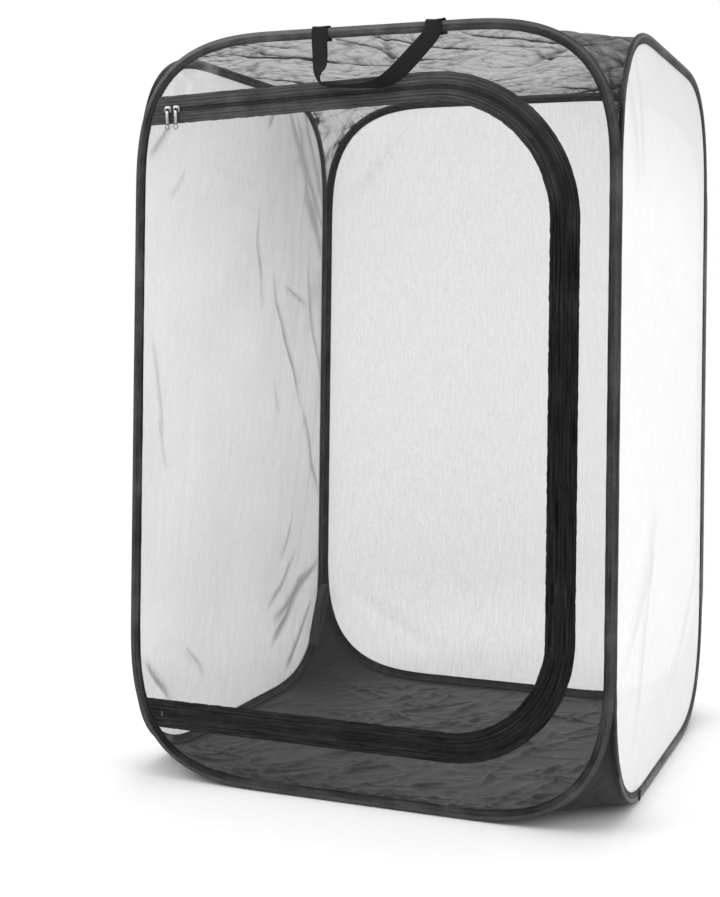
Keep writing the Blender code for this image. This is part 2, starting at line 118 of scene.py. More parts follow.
# Camera of the photograph: level, turned to the left, with the frame shifted down
def add_camera():
    data = bpy.data.cameras.new("camera")
    data.sensor_fit = "HORIZONTAL"
    data.sensor_width = 36.0
    focal_pixels = 1527.8
    principal_up = 316.2
    data.lens = focal_pixels / view_width * data.sensor_width
    data.shift_y = (principal_up - view_height / 2) / view_width
    data.clip_start = 0.05
    data.clip_end = 60
    camera = add_object("camera", data)
    yaw = 0.37733
    roll = 0.0119
    camera.matrix_world = (
        Matrix.Translation((0.64816, -1.93894, 0.56363))
        @ Matrix.Rotation(yaw, 4, "Z")
        @ Matrix.Rotation(pi / 2, 4, "X")
        @ Matrix.Rotation(roll, 4, "Z")
    )
    bpy.context.scene.camera = camera


class Nodes:
    """Adds and joins the shader nodes of a material or a world."""

    sockets = {
        "colour": "Base Color", "rough": "Roughness", "metal": "Metallic", "alpha": "Alpha",
        "specular": "Specular IOR Level", "sheen": "Sheen Weight", "sheen_rough": "Sheen Roughness",
    }

    def __init__(self, owner, shader="Principled BSDF"):
        owner.use_nodes = True
        self.owner = owner
        self.tree = owner.node_tree
        self.shader = self.tree.nodes[shader]

    def put(self, socket, value):
        if isinstance(value, bpy.types.NodeSocket):
            self.tree.links.new(value, socket)
        elif isinstance(value, tuple) and len(value) == 3 and socket.type == "RGBA":
            socket.default_value = (*value, 1)
        else:
            socket.default_value = value

    def add(self, kind, inputs=(), output=0, **settings):
        """A node with its inputs set or joined. Returns one of its outputs."""
        node = self.tree.nodes.new("ShaderNode" + kind)
        for key, value in settings.items():
            setattr(node, key, value)
        for key, value in dict(inputs).items():
            self.put(node.inputs[key], value)
        return node.outputs[output]

    def maths(self, operation, first, second, clamp=False):
        return self.add("Math", {0: first, 1: second}, operation=operation, use_clamp=clamp)

    def mix_colour(self, factor, low, high):
        return self.add("Mix", {0: factor, 6: low, 7: high}, 2, data_type="RGBA")

    def cloth_place(self):
        """Place on the cloth in metres, across and along, from the piece's own flat coordinates."""
        return self.add("UVMap", uv_map="cloth")

    def object_place(self):
        return self.add("TexCoord", output="Object")

    def fold(self):
        """The piece's own marks: above 0 in folds and grooves, mostly painted shade, below 0 painted
        highlights.
        """
        return self.add("Attribute", output="Fac", attribute_name="fold")

    def noise(self, place, scale, detail=2.0, roughness=0.5):
        inputs = {"Vector": place, "Scale": scale, "Detail": detail, "Roughness": roughness}
        return self.add("TexNoise", inputs)

    def threads(self, place, warp_pitch, weft_pitch):
        """Threads that lie both ways at their pitches, from 0 in the gaps to 1 on the threads."""
        warp, weft = (
            self.add("TexWave", {"Vector": place, "Scale": tau / 20 / pitch}, 1, wave_type="BANDS",
                     bands_direction=direction)
            for direction, pitch in (("X", warp_pitch), ("Y", weft_pitch))
        )
        return self.maths("MAXIMUM", warp, weft)

    def stretched(self, place, x, y, z=1.0):
        return self.add("Mapping", {"Vector": place, "Scale": (x, y, z)})

    def ramp(self, value, low, high, out_low=0.0, out_high=1.0):
        return self.add("MapRange", {0: value, 1: low, 2: high, 3: out_low, 4: out_high})

    def seen_rays(self):
        """1 for the rays that show the surroundings: straight, mirrored or through clear film."""
        camera, glossy, clear = (
            self.add("LightPath", output=f"Is {kind} Ray") for kind in ("Camera", "Glossy", "Transmission")
        )
        return self.maths("MAXIMUM", self.maths("MAXIMUM", camera, glossy), clear)

    def bump(self, height, distance, strength=1.0):
        bump = self.add("Bump", {"Height": height, "Distance": distance, "Strength": strength})
        self.put(self.shader.inputs["Normal"], bump)

    def set(self, **values):
        for key, value in values.items():
            self.put(self.shader.inputs[self.sockets[key]], value)


def grey(level, blue=0.0):
    """A grey, a little bluer by blue."""
    return level, level, level + blue


def shaded(colour, share):
    return tuple(value * share for value in colour)


# Pale grey of the painted highlights on cloth, where more light falls
highlight_colour = grey(0.26, 0.005)


def woven(name, dark, light, pitch, rough=0.85, sheen=0.08, specular=0.15, dirt=0.0):
    """Dark woven tape or cloth with soft blotches; painted shade where fold is above 0, a paler painted
    highlight below 0.
    """
    made = Nodes(bpy.data.materials.new(name))
    place = made.cloth_place()
    threads = made.threads(place, pitch, pitch * 0.8)
    blotches = made.noise(made.object_place(), 28.0, 4.0, 0.6)
    streaks = made.noise(made.stretched(place, 30, 900), 1.0, 3.0, 0.6)
    share = made.maths("MULTIPLY", made.maths("ADD", blotches, streaks), 0.5)
    share = made.ramp(made.maths("ADD", made.maths("MULTIPLY", threads, 0.175), share), 0.35, 0.85)
    seams_and_shading = made.fold()
    # Painted highlight where fold is below 0; with dirt, the specks break it up
    pale = made.maths("MULTIPLY", seams_and_shading, -1.0, clamp=True)
    if dirt:
        specks = made.noise(made.object_place(), 900.0, 2.0, 0.7)
        share = made.maths("ADD", share, made.ramp(specks, 0.35, 0.75, -dirt, dirt), clamp=True)
        pale = made.maths("MULTIPLY", pale, made.ramp(specks, 0.35, 0.65, 0.55, 1.25), clamp=True)
    colour = made.mix_colour(pale, made.mix_colour(share, dark, light), highlight_colour)
    made.set(
        # Painted shade where fold is above 0, towards a darker copy of the dark colour
        colour=made.mix_colour(seams_and_shading, colour, shaded(dark, 0.35)),
        rough=made.ramp(blotches, 0.3, 0.7, rough - 0.08, rough + 0.08),
        sheen=sheen,
        sheen_rough=0.5,
        specular=specular,
    )
    made.bump(made.maths("ADD", threads, made.maths("MULTIPLY", streaks, 0.5)), 0.0003, 0.8)
    return made.owner


def netting(name, colour, shade, cover, fold_cover, fold_shade):
    """Fine net: threads both ways that cover part of what is behind, more so where a fold doubles the net."""
    made = Nodes(bpy.data.materials.new(name))
    place = made.cloth_place()
    threads = made.threads(place, 0.0012, 0.0012)
    grain = made.noise(made.stretched(place, 260, 30), 1.0, 3.0, 0.6)
    blotches = made.noise(place, 9.0, 3.0, 0.5)
    folds = made.fold()
    mottled = made.ramp(made.maths("ADD", made.maths("MULTIPLY", grain, 0.5), blotches), 0.4, 1.1)
    opening = made.ramp(threads, 0.25, 0.9, cover - 0.12, min(cover + 0.12, 1))
    opening = made.maths("ADD", opening, made.maths("MULTIPLY", folds, fold_cover))
    made.set(
        colour=made.mix_colour(made.maths("MULTIPLY", folds, fold_shade, clamp=True),
                               made.mix_colour(mottled, shade, colour), shaded(colour, 0.25)),
        alpha=made.maths("ADD", opening, made.ramp(grain, 0.35, 0.65, -0.05, 0.05), clamp=True),
        rough=0.9,
        specular=0.15,
        sheen=0.0,
    )
    made.bump(threads, 0.0002, 0.6)
    return made.owner


def clear_sheet(name):
    """Clear flexible film with soft ripples and a few scuffs."""
    made = Nodes(bpy.data.materials.new(name))
    place = made.cloth_place()
    ripples = made.noise(made.stretched(place, 1, 0.6), 14.0, 3.0, 0.55)
    scuffs = made.noise(made.stretched(place, 500, 40), 1.0, 2.0, 0.5)
    haze = made.ramp(scuffs, 0.62, 0.8, 0.016, 0.05)
    made.set(
        colour=made.mix_colour(ripples, grey(0.80, 0.01), grey(0.92, 0.01)),
        # fold adds whitish haze on crumples: painted glints
        alpha=made.maths("ADD", haze, made.maths("MULTIPLY", made.fold(), 0.5), clamp=True),
        rough=made.ramp(scuffs, 0.4, 0.8, 0.07, 0.25),
        specular=0.5,
    )
    made.bump(ripples, 0.004, 0.35)
    return made.owner


def plated(name, colour, rough):
    """Plated metal with fine polishing marks and a little tarnish."""
    made = Nodes(bpy.data.materials.new(name))
    place = made.object_place()
    marks = made.noise(made.stretched(place, 300, 300, 4000), 1.0, 3.0, 0.6)
    tarnish = made.ramp(made.noise(place, 420.0, 3.0, 0.6), 0.4, 0.75, 0.0, 0.6)
    made.set(
        colour=made.mix_colour(tarnish, colour, shaded(colour, 0.55)),
        metal=1.0,
        rough=made.ramp(marks, 0.3, 0.7, rough - 0.06, rough + 0.12),
    )
    made.bump(marks, 0.00005, 0.4)
    return made.owner


def nylon(name):
    """Black nylon of the zipper's coils."""
    made = Nodes(bpy.data.materials.new(name))
    place = made.object_place()
    dust = made.noise(place, 160.0, 4.0, 0.6)
    made.set(
        colour=made.mix_colour(made.ramp(dust, 0.4, 0.8), grey(0.008, 0.001), grey(0.03, 0.002)),
        rough=made.ramp(dust, 0.3, 0.7, 0.36, 0.55),
        specular=0.2,
    )
    made.bump(made.noise(place, 2500.0, 2.0), 0.00004, 0.5)
    return made.owner


binding_cloth = woven("binding_cloth", grey(0.016, 0.001), grey(0.110, 0.002), 0.0011, dirt=0.35)
webbing_cloth = woven("webbing_cloth", grey(0.005, 0.001), grey(0.018, 0.001), 0.0014, rough=0.7, sheen=0.02)
tape_cloth = woven("tape_cloth", grey(0.012, 0.001), grey(0.145, 0.002), 0.0009, rough=0.75, sheen=0.0,
                   specular=0.05)
floor_weave = woven("floor_weave", grey(0.009, 0.001), grey(0.029, 0.002), 0.0009, rough=0.5, sheen=0.03,
                    specular=0.25)
thread = woven("thread", grey(0.014, 0.001), grey(0.05, 0.002), 0.0005)
side_net = netting("side_net", grey(0.92), grey(0.79), 0.63, 0.25, 0.65)
back_mesh = netting("back_mesh", grey(0.95), grey(0.91), 0.50, 0.1, 0.1)
right_mesh = netting("right_mesh", grey(0.93), grey(0.89), 0.88, 0.1, 0.30)
dark_net = netting("dark_net", grey(0.045, 0.002), grey(0.025, 0.002), 0.50, 0.50, 0.5)
film = clear_sheet("film")
plate = plated("plate", grey(0.42, 0.01), 0.30)
# Darker copy of the plating: painted shade on the slider's wires, and the finish of the zipper stops
dark_plate = plated("dark_plate", grey(0.10, 0.005), 0.34)
steel = plated("steel", grey(0.45, 0.01), 0.3)
coil_nylon = nylon("coil_nylon")


def wall_frame(wall):
    """The turn and place that take a wall's across, up and out into the cage."""
    out = Vector((*outward[wall], 0))
    up = Vector((0, 0, 1))
    return Matrix.Translation(out * wall_plane) @ Matrix((up.cross(out), up, out)).transposed().to_4x4()


wall_frames = {wall: wall_frame(wall) for wall in walls}


def place_piece(name, mesh, materials, body, slot, *replaced):
    """Puts a mesh in the scene as a smooth piece with its materials, on the body it rides on."""
    mesh.polygons.foreach_set("use_smooth", [True] * len(mesh.polygons))
    for material in materials:
        mesh.materials.append(material)
    piece = add_object(name, mesh)
    if body:
        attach(piece, body)
    if replaced:
        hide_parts(*replaced)
    return piece


def add_piece(name, points, faces, uvs, folds, material, *looks):
    """A mesh piece with flat coordinates and marks; looks are its body, a slot that is not used, and the
    nodes it replaces.
    """
    mesh = bpy.data.meshes.new(name)
    mesh.from_pydata([tuple(point) for point in points], [], faces)
    layer = mesh.uv_layers.new(name="cloth")
    layer.data.foreach_set("uv", np.array([corner for corners in uvs for corner in corners], float).ravel())
    fold = mesh.attributes.new("fold", "FLOAT", "POINT")
    if folds is not None:
        fold.data.foreach_set("value", np.array(folds, np.float32))
    return place_piece(name, mesh, [material], *looks)


def face_outward(piece):
    """Turns the faces of a closed piece outward."""
    shape = bmesh.new()
    shape.from_mesh(piece.data)
    bmesh.ops.recalc_face_normals(shape, faces=shape.faces)
    shape.to_mesh(piece.data)
    shape.free()
    return piece


def corner_point(reach, share):
    """Point of a superellipse quarter, from (reach, 0) at share 0 to (0, reach) at share 1."""
    angle = share * pi / 2
    power = 2 / corner_squareness
    return reach * max(cos(angle), 0) ** power, reach * max(sin(angle), 0) ** power


def hoop_outline(half, inset, steps=40):
    """Closed outline of a hoop drawn in by inset, from the middle of its foot anticlockwise."""
    side = half - corner_reach
    quarter = [corner_point(corner_reach - inset, step / steps) for step in range(steps + 1)]
    right = [(side + across, corner_reach - up) for across, up in reversed(quarter)]
    right += [(side + across, cage_height - corner_reach + up) for across, up in quarter]
    left = [(-across, up) for across, up in reversed(right)]
    return [(0, inset)] + right + [(0, cage_height - inset)] + left


def along_line(line):
    """Distance of each point of a line from its start."""
    return np.concatenate([[0], np.cumsum(np.linalg.norm(np.diff(line, axis=0), axis=1))])


def points_at(wanted, along, line):
    """The line's values at wanted distances from its start."""
    return np.stack([np.interp(wanted, along, values) for values in np.transpose(line)], axis=1)


def unit_ways(ahead, behind):
    way = ahead - behind
    return way / np.maximum(np.linalg.norm(way, axis=1), 1e-12)[:, None]


def even_line(points, spacing):
    """Points at an even spacing round a closed line, their directions and distances from the start."""
    line = np.array(points + [points[0]], float)
    line = line[np.append(True, np.linalg.norm(np.diff(line, axis=0), axis=1) > 1e-9)]
    along = along_line(line)
    count = max(int(round(along[-1] / spacing)), 2)
    wanted = np.linspace(0, along[-1], count + 1)[:-1]
    half = spacing / 2
    ahead, behind = (points_at((wanted + step) % along[-1], along, line) for step in (half, -half))
    return points_at(wanted, along, line), unit_ways(ahead, behind), wanted


def loft(name, rings, lengths, section, closed, marks, *looks):
    """A skin over rings of points, one for each corner of the section; lengths place the rings on it."""
    count, total = len(section), len(rings)
    around = along_line(section + section[:1])
    lengths = list(lengths)
    if closed:
        lengths.append(lengths[-1] + lengths[1] - lengths[0])
    faces, uvs = [], []
    square = ((0, 0), (0, 1), (1, 1), (1, 0))
    for ring in range(total if closed else total - 1):
        for corner in range(count):
            faces.append([(ring + step) % total * count + (corner + turn) % count for step, turn in square])
            uvs.append([(lengths[ring + step], around[corner + turn]) for step, turn in square])
    if not closed:
        for ring in (0, total - 1):
            faces.append([ring * count + corner for corner in range(count)])
            uvs.append(section)
    points = [point for ring in rings for point in ring]
    folds = [marks(ring, corner) for ring in range(total) for corner in range(count)] if marks else None
    return face_outward(add_piece(name, points, faces, uvs, folds, *looks))


def sweep(name, centres, sides, outs, distances, section, closed, shift, *rest):
    """A section of (side, out) points carried along a line; shift(ring, corner) adds to its side and out."""
    rings = []
    for ring, centre in enumerate(centres):
        made = []
        for corner, (side, out) in enumerate(section):
            more_side, more_out = shift(ring, corner) if shift else (0, 0)
            made.append(centre + sides[ring] * (side + more_side) + outs[ring] * (out + more_out))
        rings.append(made)
    return loft(name, rings, distances, section, closed, *rest)


def rounded(*place):
    """Smooth noise of one number, from -1 to 1."""
    return noise.noise(Vector(place))


def clipped(value):
    return min(max(value, 0), 1)


binding_lip = binding_width - binding_half
binding_seeds = {"front": 1.5, "left": 7.3, "right": 13.9, "back": 21.2}
# Darkness over the tape's width, from outside the wire to its folded edge: painted shade at the outer bulge
# and the folded lip, and dark seam lines between
shade_and_seam_sides = (-0.0029, -0.0022, -0.0012, 0.0016, 0.0038, 0.0062, 0.0072, 0.0081, 0.0092)
shade_and_seam_marks = (0.75, 0.45, 0.05, 0.00, 0.50, 0.25, 0.70, 0.35, 1.00)


def mirrored(points):
    return [(side, -out) for side, out in reversed(points)]


def binding_section():
    """Section of the folded tape, a bulge round the wire and two lips, and how many points are its skin."""
    angles = [radians(angle) for angle in (100, 118, 136, 158, 180, 202, 224, 242, 260)]
    outer, inner = (
        [(radius * cos(angle), radius * sin(angle)) for angle in angles]
        for radius in (binding_half, 0.00185)
    )
    lip = binding_lip
    upper = [(lip, 0.0010), (lip - 0.0004, 0.00145), (lip - 0.0016, 0.00150), (lip - 0.0024, 0.00128),
             (lip - 0.0034, 0.00155), (0.0038, 0.0022), (0.0016, 0.0027)]
    lining = [(lip, 0.0007), (0.0048, 0.0009), (0.0024, 0.0014)]
    skin = upper + outer + mirrored(upper)
    hollow = lining + inner[::2] + mirrored(lining)
    return skin + hollow[::-1], len(skin)


def in_corner(across, up, half):
    """1 where a hoop bends round a corner, 0 along its straight runs."""
    beside = (abs(across) - (half - corner_reach)) / corner_reach
    above = (abs(up - cage_height / 2) - (cage_height / 2 - corner_reach)) / corner_reach
    return max(min(beside, above), 0)


def binding_highlight(wall, across, up):
    """How much painted highlight a binding takes at a place on its hoop: paler on the front's top run and on
    the right hoop, where more light falls.
    """
    if wall == "right":
        highlight_share = np.interp(up, (0.0, 0.12, 0.35, 0.75, 0.9), (0.62, 0.50, 0.22, 0.15, 0.35))
        highlight_share *= np.interp(across, (-0.27, -0.22), (0.0, 1.0)) if up > 0.06 else 1.0
        far = np.interp(across, (0.20, 0.27), (0.0, 0.48))
        return max(highlight_share, far * np.interp(up, (0.65, 0.85), (1.0, 0.6)))
    if wall == "front":
        top = np.interp(up, (0.78, 0.88), (0.0, 1.0))
        return top * np.interp(across, (-0.15, 0.0, 0.15), (0.50, 0.42, 0.20))
    return 0.0


def hoop_line(wall, spacing):
    """A hoop's middle line: its flat points and distances, its places in the cage, its ways and asides."""
    line, direction, distances = even_line(hoop_outline(half_of[wall], binding_half), spacing)
    turn = wall_frames[wall].to_3x3()
    centres = [wall_frames[wall] @ Vector((*point, 0)) for point in line]
    ways = [turn @ Vector((*way, 0)) for way in direction]
    asides = [turn @ Vector((-way[1], way[0], 0)) for way in direction]
    return line, distances, centres, ways, asides


def add_binding(wall):
    """Binding of one hoop, puckered where it bends, with a row of stitches on each side."""
    line, distances, centres, _, asides = hoop_line(wall, 0.005)
    outs = [Vector((*outward[wall], 0))] * len(centres)
    section, skin = binding_section()
    seed = binding_seeds[wall]
    bent = [in_corner(across, up, half_of[wall]) for across, up in line]

    def pucker(ring, corner):
        if corner >= skin:
            return 0, 0
        (side, out), along = section[corner], distances[ring]
        wave = rounded(along * 110, seed, out * 300) + 0.5 * rounded(along * 260, seed + 3, side)
        slow = rounded(along * 22, seed + 9, 0)
        share = clipped(side / binding_lip)
        lift = (0.00022 * wave * (0.25 + 1.6 * bent[ring]) + 0.00018 * slow) * (0.3 + share)
        edge = 0.00035 * rounded(along * 70, seed + 5, out * 500) * share
        return edge, lift if out > 0 else -lift

    # Painted shade across the tape and more where it bends round a corner, dark seam lines and random
    # patches; the painted highlight makes the tape paler
    def seams_and_shading(ring, corner):
        side, along = section[corner][0], distances[ring]
        mark = np.interp(side, shade_and_seam_sides, shade_and_seam_marks)
        patch = rounded(along * 16, seed + 30, side * 150) + 0.6 * rounded(along * 60, seed + 40, 0)
        mark = clipped(mark * (1 + 0.8 * patch) + 0.45 * bent[ring] * (side > 0.002) + 0.20 * patch)
        # Painted highlight, paler where more light falls on the hoop
        highlight_share = binding_highlight(wall, *line[ring])
        return mark * (1 - 0.5 * highlight_share) - highlight_share * (1 - 0.6 * mark)

    sweep(f"{wall}_binding_tape", centres, asides, outs, distances, section, True, pucker, seams_and_shading,
          binding_cloth, wall, "binding_tape", f"{wall}_binding")
    add_stitches(wall)


def bead(tip, rings, far_tip):
    """Points and faces of a small closed shape: a tip, rings of as many points each, and the other tip."""
    count = len(rings[0])
    points = [tip] + [point for ring in rings for point in ring] + [far_tip]
    last = len(points) - 1
    faces = []
    for corner in range(count):
        beyond = (corner + 1) % count
        faces.append((0, 1 + corner, 1 + beyond))
        for start in range(1, last - count, count):
            faces.append((start + corner, start + count + corner, start + count + beyond, start + beyond))
        faces.append((last, last - count + beyond, last - count + corner))
    return points, faces


def add_many(name, shapes, *looks):
    """Many small shapes as one piece."""
    points, faces, uvs = [], [], []
    for shape_points, shape_faces in shapes:
        start = len(points)
        points.extend(shape_points)
        for face in shape_faces:
            faces.append([start + corner for corner in face])
            uvs.append([(shape_points[corner].x, shape_points[corner].z) for corner in face])
    return face_outward(add_piece(name, points, faces, uvs, None, *looks))


def add_stitches(wall):
    """Rows of stitches near the lips of a binding, on both faces: small pillows of thread."""
    seam, lift = binding_lip - 0.0024, 0.0014
    length, half_thick, height = 0.0026, 0.00025, 0.0003
    out = Vector((*outward[wall], 0))
    _, _, centres, ways, asides = hoop_line(wall, 0.0036)
    shapes = []
    for centre, along, aside in zip(centres, ways, asides):
        for face in (1, -1):
            middle = centre + aside * seam + out * lift * face
            rings = [
                [middle + along * length * step + aside * half_thick * across + out * height * up
                 for across, up in ((-1, 0), (0, 1), (1, 0), (0, -1))]
                for step in (-0.3, 0.3)
            ]
            shapes.append(bead(middle - along * length / 2, rings, middle + along * length / 2))
    add_many(f"{wall}_binding_stitches", shapes, thread, wall, "binding_tape")


def crease(points, start, end, width, height, spread=1.0):
    """Height of one crease at points in a wall: widening by spread from start to end, fading at its ends."""
    line = np.subtract(end, start)
    length = np.linalg.norm(line)
    from_start = points - np.array(start)
    share = from_start @ line / length ** 2
    away = from_start @ np.array((line[1], -line[0])) / length
    wide = width * (1 + (spread - 1) * np.clip(share, 0, 1))
    fade = np.clip(1 - np.abs(2 * share - 1) ** 3, 0, 1)
    return height * np.exp(-(away / wide) ** 2) * fade


def lay(points, creases, widen=1.0, rise_to=float, gather=np.add):
    """Many creases (start, end, width, rise, spread) together, each widened, its rise changed by rise_to."""
    total = np.zeros(len(points))
    for start, end, width, rise, spread in creases:
        total = gather(total, crease(points, start, end, width * widen, rise_to(rise), spread))
    return total


def loop_edges(loop):
    """The ends of each edge of a closed loop."""
    loop = np.array(loop)
    return zip(loop, np.roll(loop, -1, axis=0))


def inside_loop(points, loop):
    """Whether each point lies inside a closed loop."""
    inside = np.zeros(len(points), bool)
    for here, after in loop_edges(loop):
        crosses = (here[1] > points[:, 1]) != (after[1] > points[:, 1])
        slope = (after[0] - here[0]) / ((after[1] - here[1]) or 1e-12)
        inside ^= crosses & (points[:, 0] < here[0] + slope * (points[:, 1] - here[1]))
    return inside


def inside_outline(points, loops):
    """Whether each point lies inside the first loop and outside the others."""
    inside = [inside_loop(points, loop) for loop in loops]
    return inside[0] & ~np.any(inside[1:], axis=0)


def edge_distance(points, loops):
    """Distance of each point from the nearest of some closed loops."""
    nearest = np.full(len(points), 1e9)
    for loop in loops:
        for here, after in loop_edges(loop):
            line = after - here
            share = np.clip(((points - here) @ line) / max(line @ line, 1e-18), 0, 1)
            nearest = np.minimum(nearest, np.linalg.norm(points - (here + share[:, None] * line), axis=1))
    return nearest


def flat_sheet(loops, spacing):
    """Points and triangles that fill an outline with holes."""
    edges, border = [], []
    for loop in loops:
        line = even_line([tuple(point) for point in loop], spacing)[0]
        start = len(border)
        border.extend(map(tuple, line))
        edges.extend((start + index, start + (index + 1) % len(line)) for index in range(len(line)))
    low, high = np.min(loops[0], axis=0), np.max(loops[0], axis=0)
    grid = np.array([
        (across, up)
        for row, up in enumerate(np.arange(low[1], high[1], spacing * 0.866))
        for across in np.arange(low[0] + row % 2 * spacing / 2, high[0], spacing)
    ])
    grid = grid[inside_outline(grid, loops)]
    grid = grid[edge_distance(grid, loops) > spacing * 0.45]
    made = geometry.delaunay_2d_cdt([Vector(point) for point in [*border, *grid]], edges, [], 0, 1e-7)
    points = np.array([tuple(point) for point in made[0]])
    faces = np.array([tuple(face) for face in made[2]])
    faces = faces[inside_outline(points[faces].mean(axis=1), loops)]
    used, numbers = np.unique(faces, return_inverse=True)
    return points[used], [tuple(map(int, face)) for face in numbers.reshape(faces.shape)]


def add_sheet(name, wall, loops, spacing, height, folds, *looks):
    """A sheet in a wall, moved out of its plane by height(points, away); away is how far its edges are."""
    points, faces = flat_sheet(loops, spacing)
    away = edge_distance(points, loops)
    flat = np.column_stack([points, height(points, away), np.ones(len(points))])
    world = (flat @ np.array(wall_frames[wall]).T)[:, :3]
    uvs = [[tuple(points[corner]) for corner in face] for face in faces]
    return add_piece(name, world, faces, uvs, folds(points, away) if folds else None, *looks)


def rough_ground(points, scale, seed, octaves=3):
    """Fractal noise on an array of (across, up)."""
    places = [Vector((across * scale, up * scale, seed)) for across, up in points]
    return np.array([noise.fractal(place, 1.0, 2.0, octaves) for place in places])


def ridged(points, scale, seed, stretch=(1.0, 1.0), turn=0.0):
    """Sharp ridges of noise, from 0 to about 1, stretched and turned."""
    cosine, sine = cos(turn), sin(turn)
    across = (points[:, 0] * cosine + points[:, 1] * sine) * scale * stretch[0]
    along = (-points[:, 0] * sine + points[:, 1] * cosine) * scale * stretch[1]
    values = np.array([
        rounded(first, second, seed) + 0.5 * rounded(2 * first, 2 * second, seed + 5)
        for first, second in zip(across, along)
    ])
    return 1 - np.clip(np.abs(values) * 2.2, 0, 1)


def warped(points, scale, amount, seed):
    """Points moved about by smooth noise, which bends the creases that are laid on them."""
    moves = [rough_ground(points, scale, seed + turn, 2) * amount for turn in (0.0, 10.0)]
    return points + np.column_stack(moves)


def share_of(values, start, end):
    """0 before start, 1 past end, and even between them."""
    return np.clip((values - start) / (end - start), 0, 1)


def rise_from_edge(away, start=0.006, over=0.05):
    """0 near a sheet's edge, 1 well inside it."""
    share = share_of(away, start, start + over)
    return share * share * (3 - 2 * share)


def add_net(wall, spacing, height, folds, material):
    """The net of a wall, stretched in its hoop."""
    outline = hoop_outline(half_of[wall], panel_inset)
    piece = add_sheet(f"{wall}_net_sheet", wall, [outline], spacing, height, folds, material, wall,
                      "white_net", f"{wall}_net")


# Creases of the left net, with the back seam at negative across: start, end, width, height, spread
left_creases = [
    ((-0.200, 0.880), (-0.290, 0.719), 0.0045, 0.0045, 1.6),
    ((-0.238, 0.880), (-0.288, 0.788), 0.0035, 0.0035, 1.4),
    ((-0.150, 0.880), (-0.281, 0.648), 0.0060, 0.0050, 2.0),
    ((-0.172, 0.880), (-0.285, 0.690), 0.0035, 0.0040, 1.6),
    ((-0.108, 0.880), (-0.075, 0.833), 0.0040, 0.0035, 1.4),
    ((-0.041, 0.725), (-0.066, 0.610), 0.0035, 0.0025, 1.4),
    ((-0.060, 0.650), (-0.061, 0.570), 0.0035, 0.0020, 1.4),
    ((-0.094, 0.633), (-0.205, 0.423), 0.0040, 0.0040, 1.4),
    ((-0.144, 0.609), (-0.220, 0.578), 0.0035, 0.0025, 1.4),
    ((-0.225, 0.640), (-0.286, 0.440), 0.0040, 0.0030, 1.6),
    ((-0.201, 0.434), (-0.286, 0.276), 0.0045, 0.0035, 1.8),
    ((-0.112, 0.475), (-0.131, 0.415), 0.0035, 0.0020, 1.3),
    ((-0.187, 0.269), (-0.134, 0.205), 0.0040, 0.0030, 1.5),
    ((-0.280, 0.185), (-0.103, 0.071), 0.0060, 0.0050, 1.8),
    ((-0.245, 0.175), (-0.108, 0.112), 0.0060, 0.0040, 1.8),
    ((-0.200, 0.205), (-0.090, 0.128), 0.0050, 0.0030, 1.8),
    ((-0.255, 0.120), (-0.160, 0.030), 0.0050, 0.0045, 1.6),
    ((0.268, 0.132), (0.190, 0.060), 0.0050, 0.0045, 1.4),
    ((0.165, 0.135), (0.098, 0.075), 0.0040, 0.0025, 1.4),
    ((0.200, 0.815), (0.272, 0.752), 0.0040, 0.0035, 1.6),
    ((0.225, 0.835), (0.275, 0.790), 0.0040, 0.0030, 1.6),
    ((0.169, 0.749), (0.214, 0.712), 0.0040, 0.0020, 1.6),
    ((0.261, 0.543), (0.225, 0.410), 0.0045, 0.0025, 1.4),
    ((0.240, 0.440), (0.208, 0.364), 0.0040, 0.0020, 1.4),
]
wall_fold_height = 0.0040
wall_fold_count = 9


def add_left_net():
    """The slack left net, with broad folds from its upper back corner and creases."""

    def height(points, away):
        across, up = points[:, 0], points[:, 1]
        from_edge = (1 - (across / side_half) ** 2) * (1 - (2 * up / cage_height - 1) ** 2)
        angle = np.arctan2(cage_height - up, side_half + across)
        out = np.sin(2 * wall_fold_count * angle) * from_edge * wall_fold_height
        bent = warped(points, 8.0, 0.010, 61.0)
        out += lay(bent, left_creases[1::2]) - lay(bent, left_creases[::2])
        out += ridged(points, 9.0, 3.0, (2.2, 0.35), 0.12) * 0.0016
        out += ridged(points, 30.0, 5.0, (2.0, 0.30), 0.05) * 0.0006
        return out * rise_from_edge(away)

    def folds(points, away):
        bent = warped(points, 8.0, 0.010, 61.0)
        # Marks that darken the net and make it denser: painted shade along the creases, over its upper part
        # and towards the back seam, with streaks
        marks = lay(bent, left_creases, 0.7, lambda rise: 1.3 * min(rise / 0.005, 1))
        marks += 0.34 * share_of(points[:, 1], 0.50, 0.75) * share_of(points[:, 0], 0.16, -0.06)
        towards_back = share_of(points[:, 0], -0.02, -0.26)
        streaks = ridged(points, 9.0, 3.0, (2.2, 0.35), 0.12) ** 3
        return np.clip(marks + towards_back * (0.28 + 0.24 * streaks), 0, 1)

    add_net("left", 0.005, height, folds, side_net)


def add_plain_net(wall, seed, creases, material):
    """A net that hangs almost flat, with a few creases."""

    def height(points, away):
        return (rough_ground(points, 3.0, seed) * 0.004 + lay(points, creases)) * rise_from_edge(away)

    def folds(points, away):
        # Painted shade along the creases, and on the right net towards its top and a little towards its
        # bottom
        marks = lay(points, creases, 0.6, lambda rise: 0.6)
        if wall == "right":
            marks += 0.85 * share_of(points[:, 1], 0.68, 0.88)
            marks += 0.12 * share_of(points[:, 1], 0.20, 0.05)
        return np.clip(marks, 0, 1)

    add_net(wall, 0.010, height, folds, material)


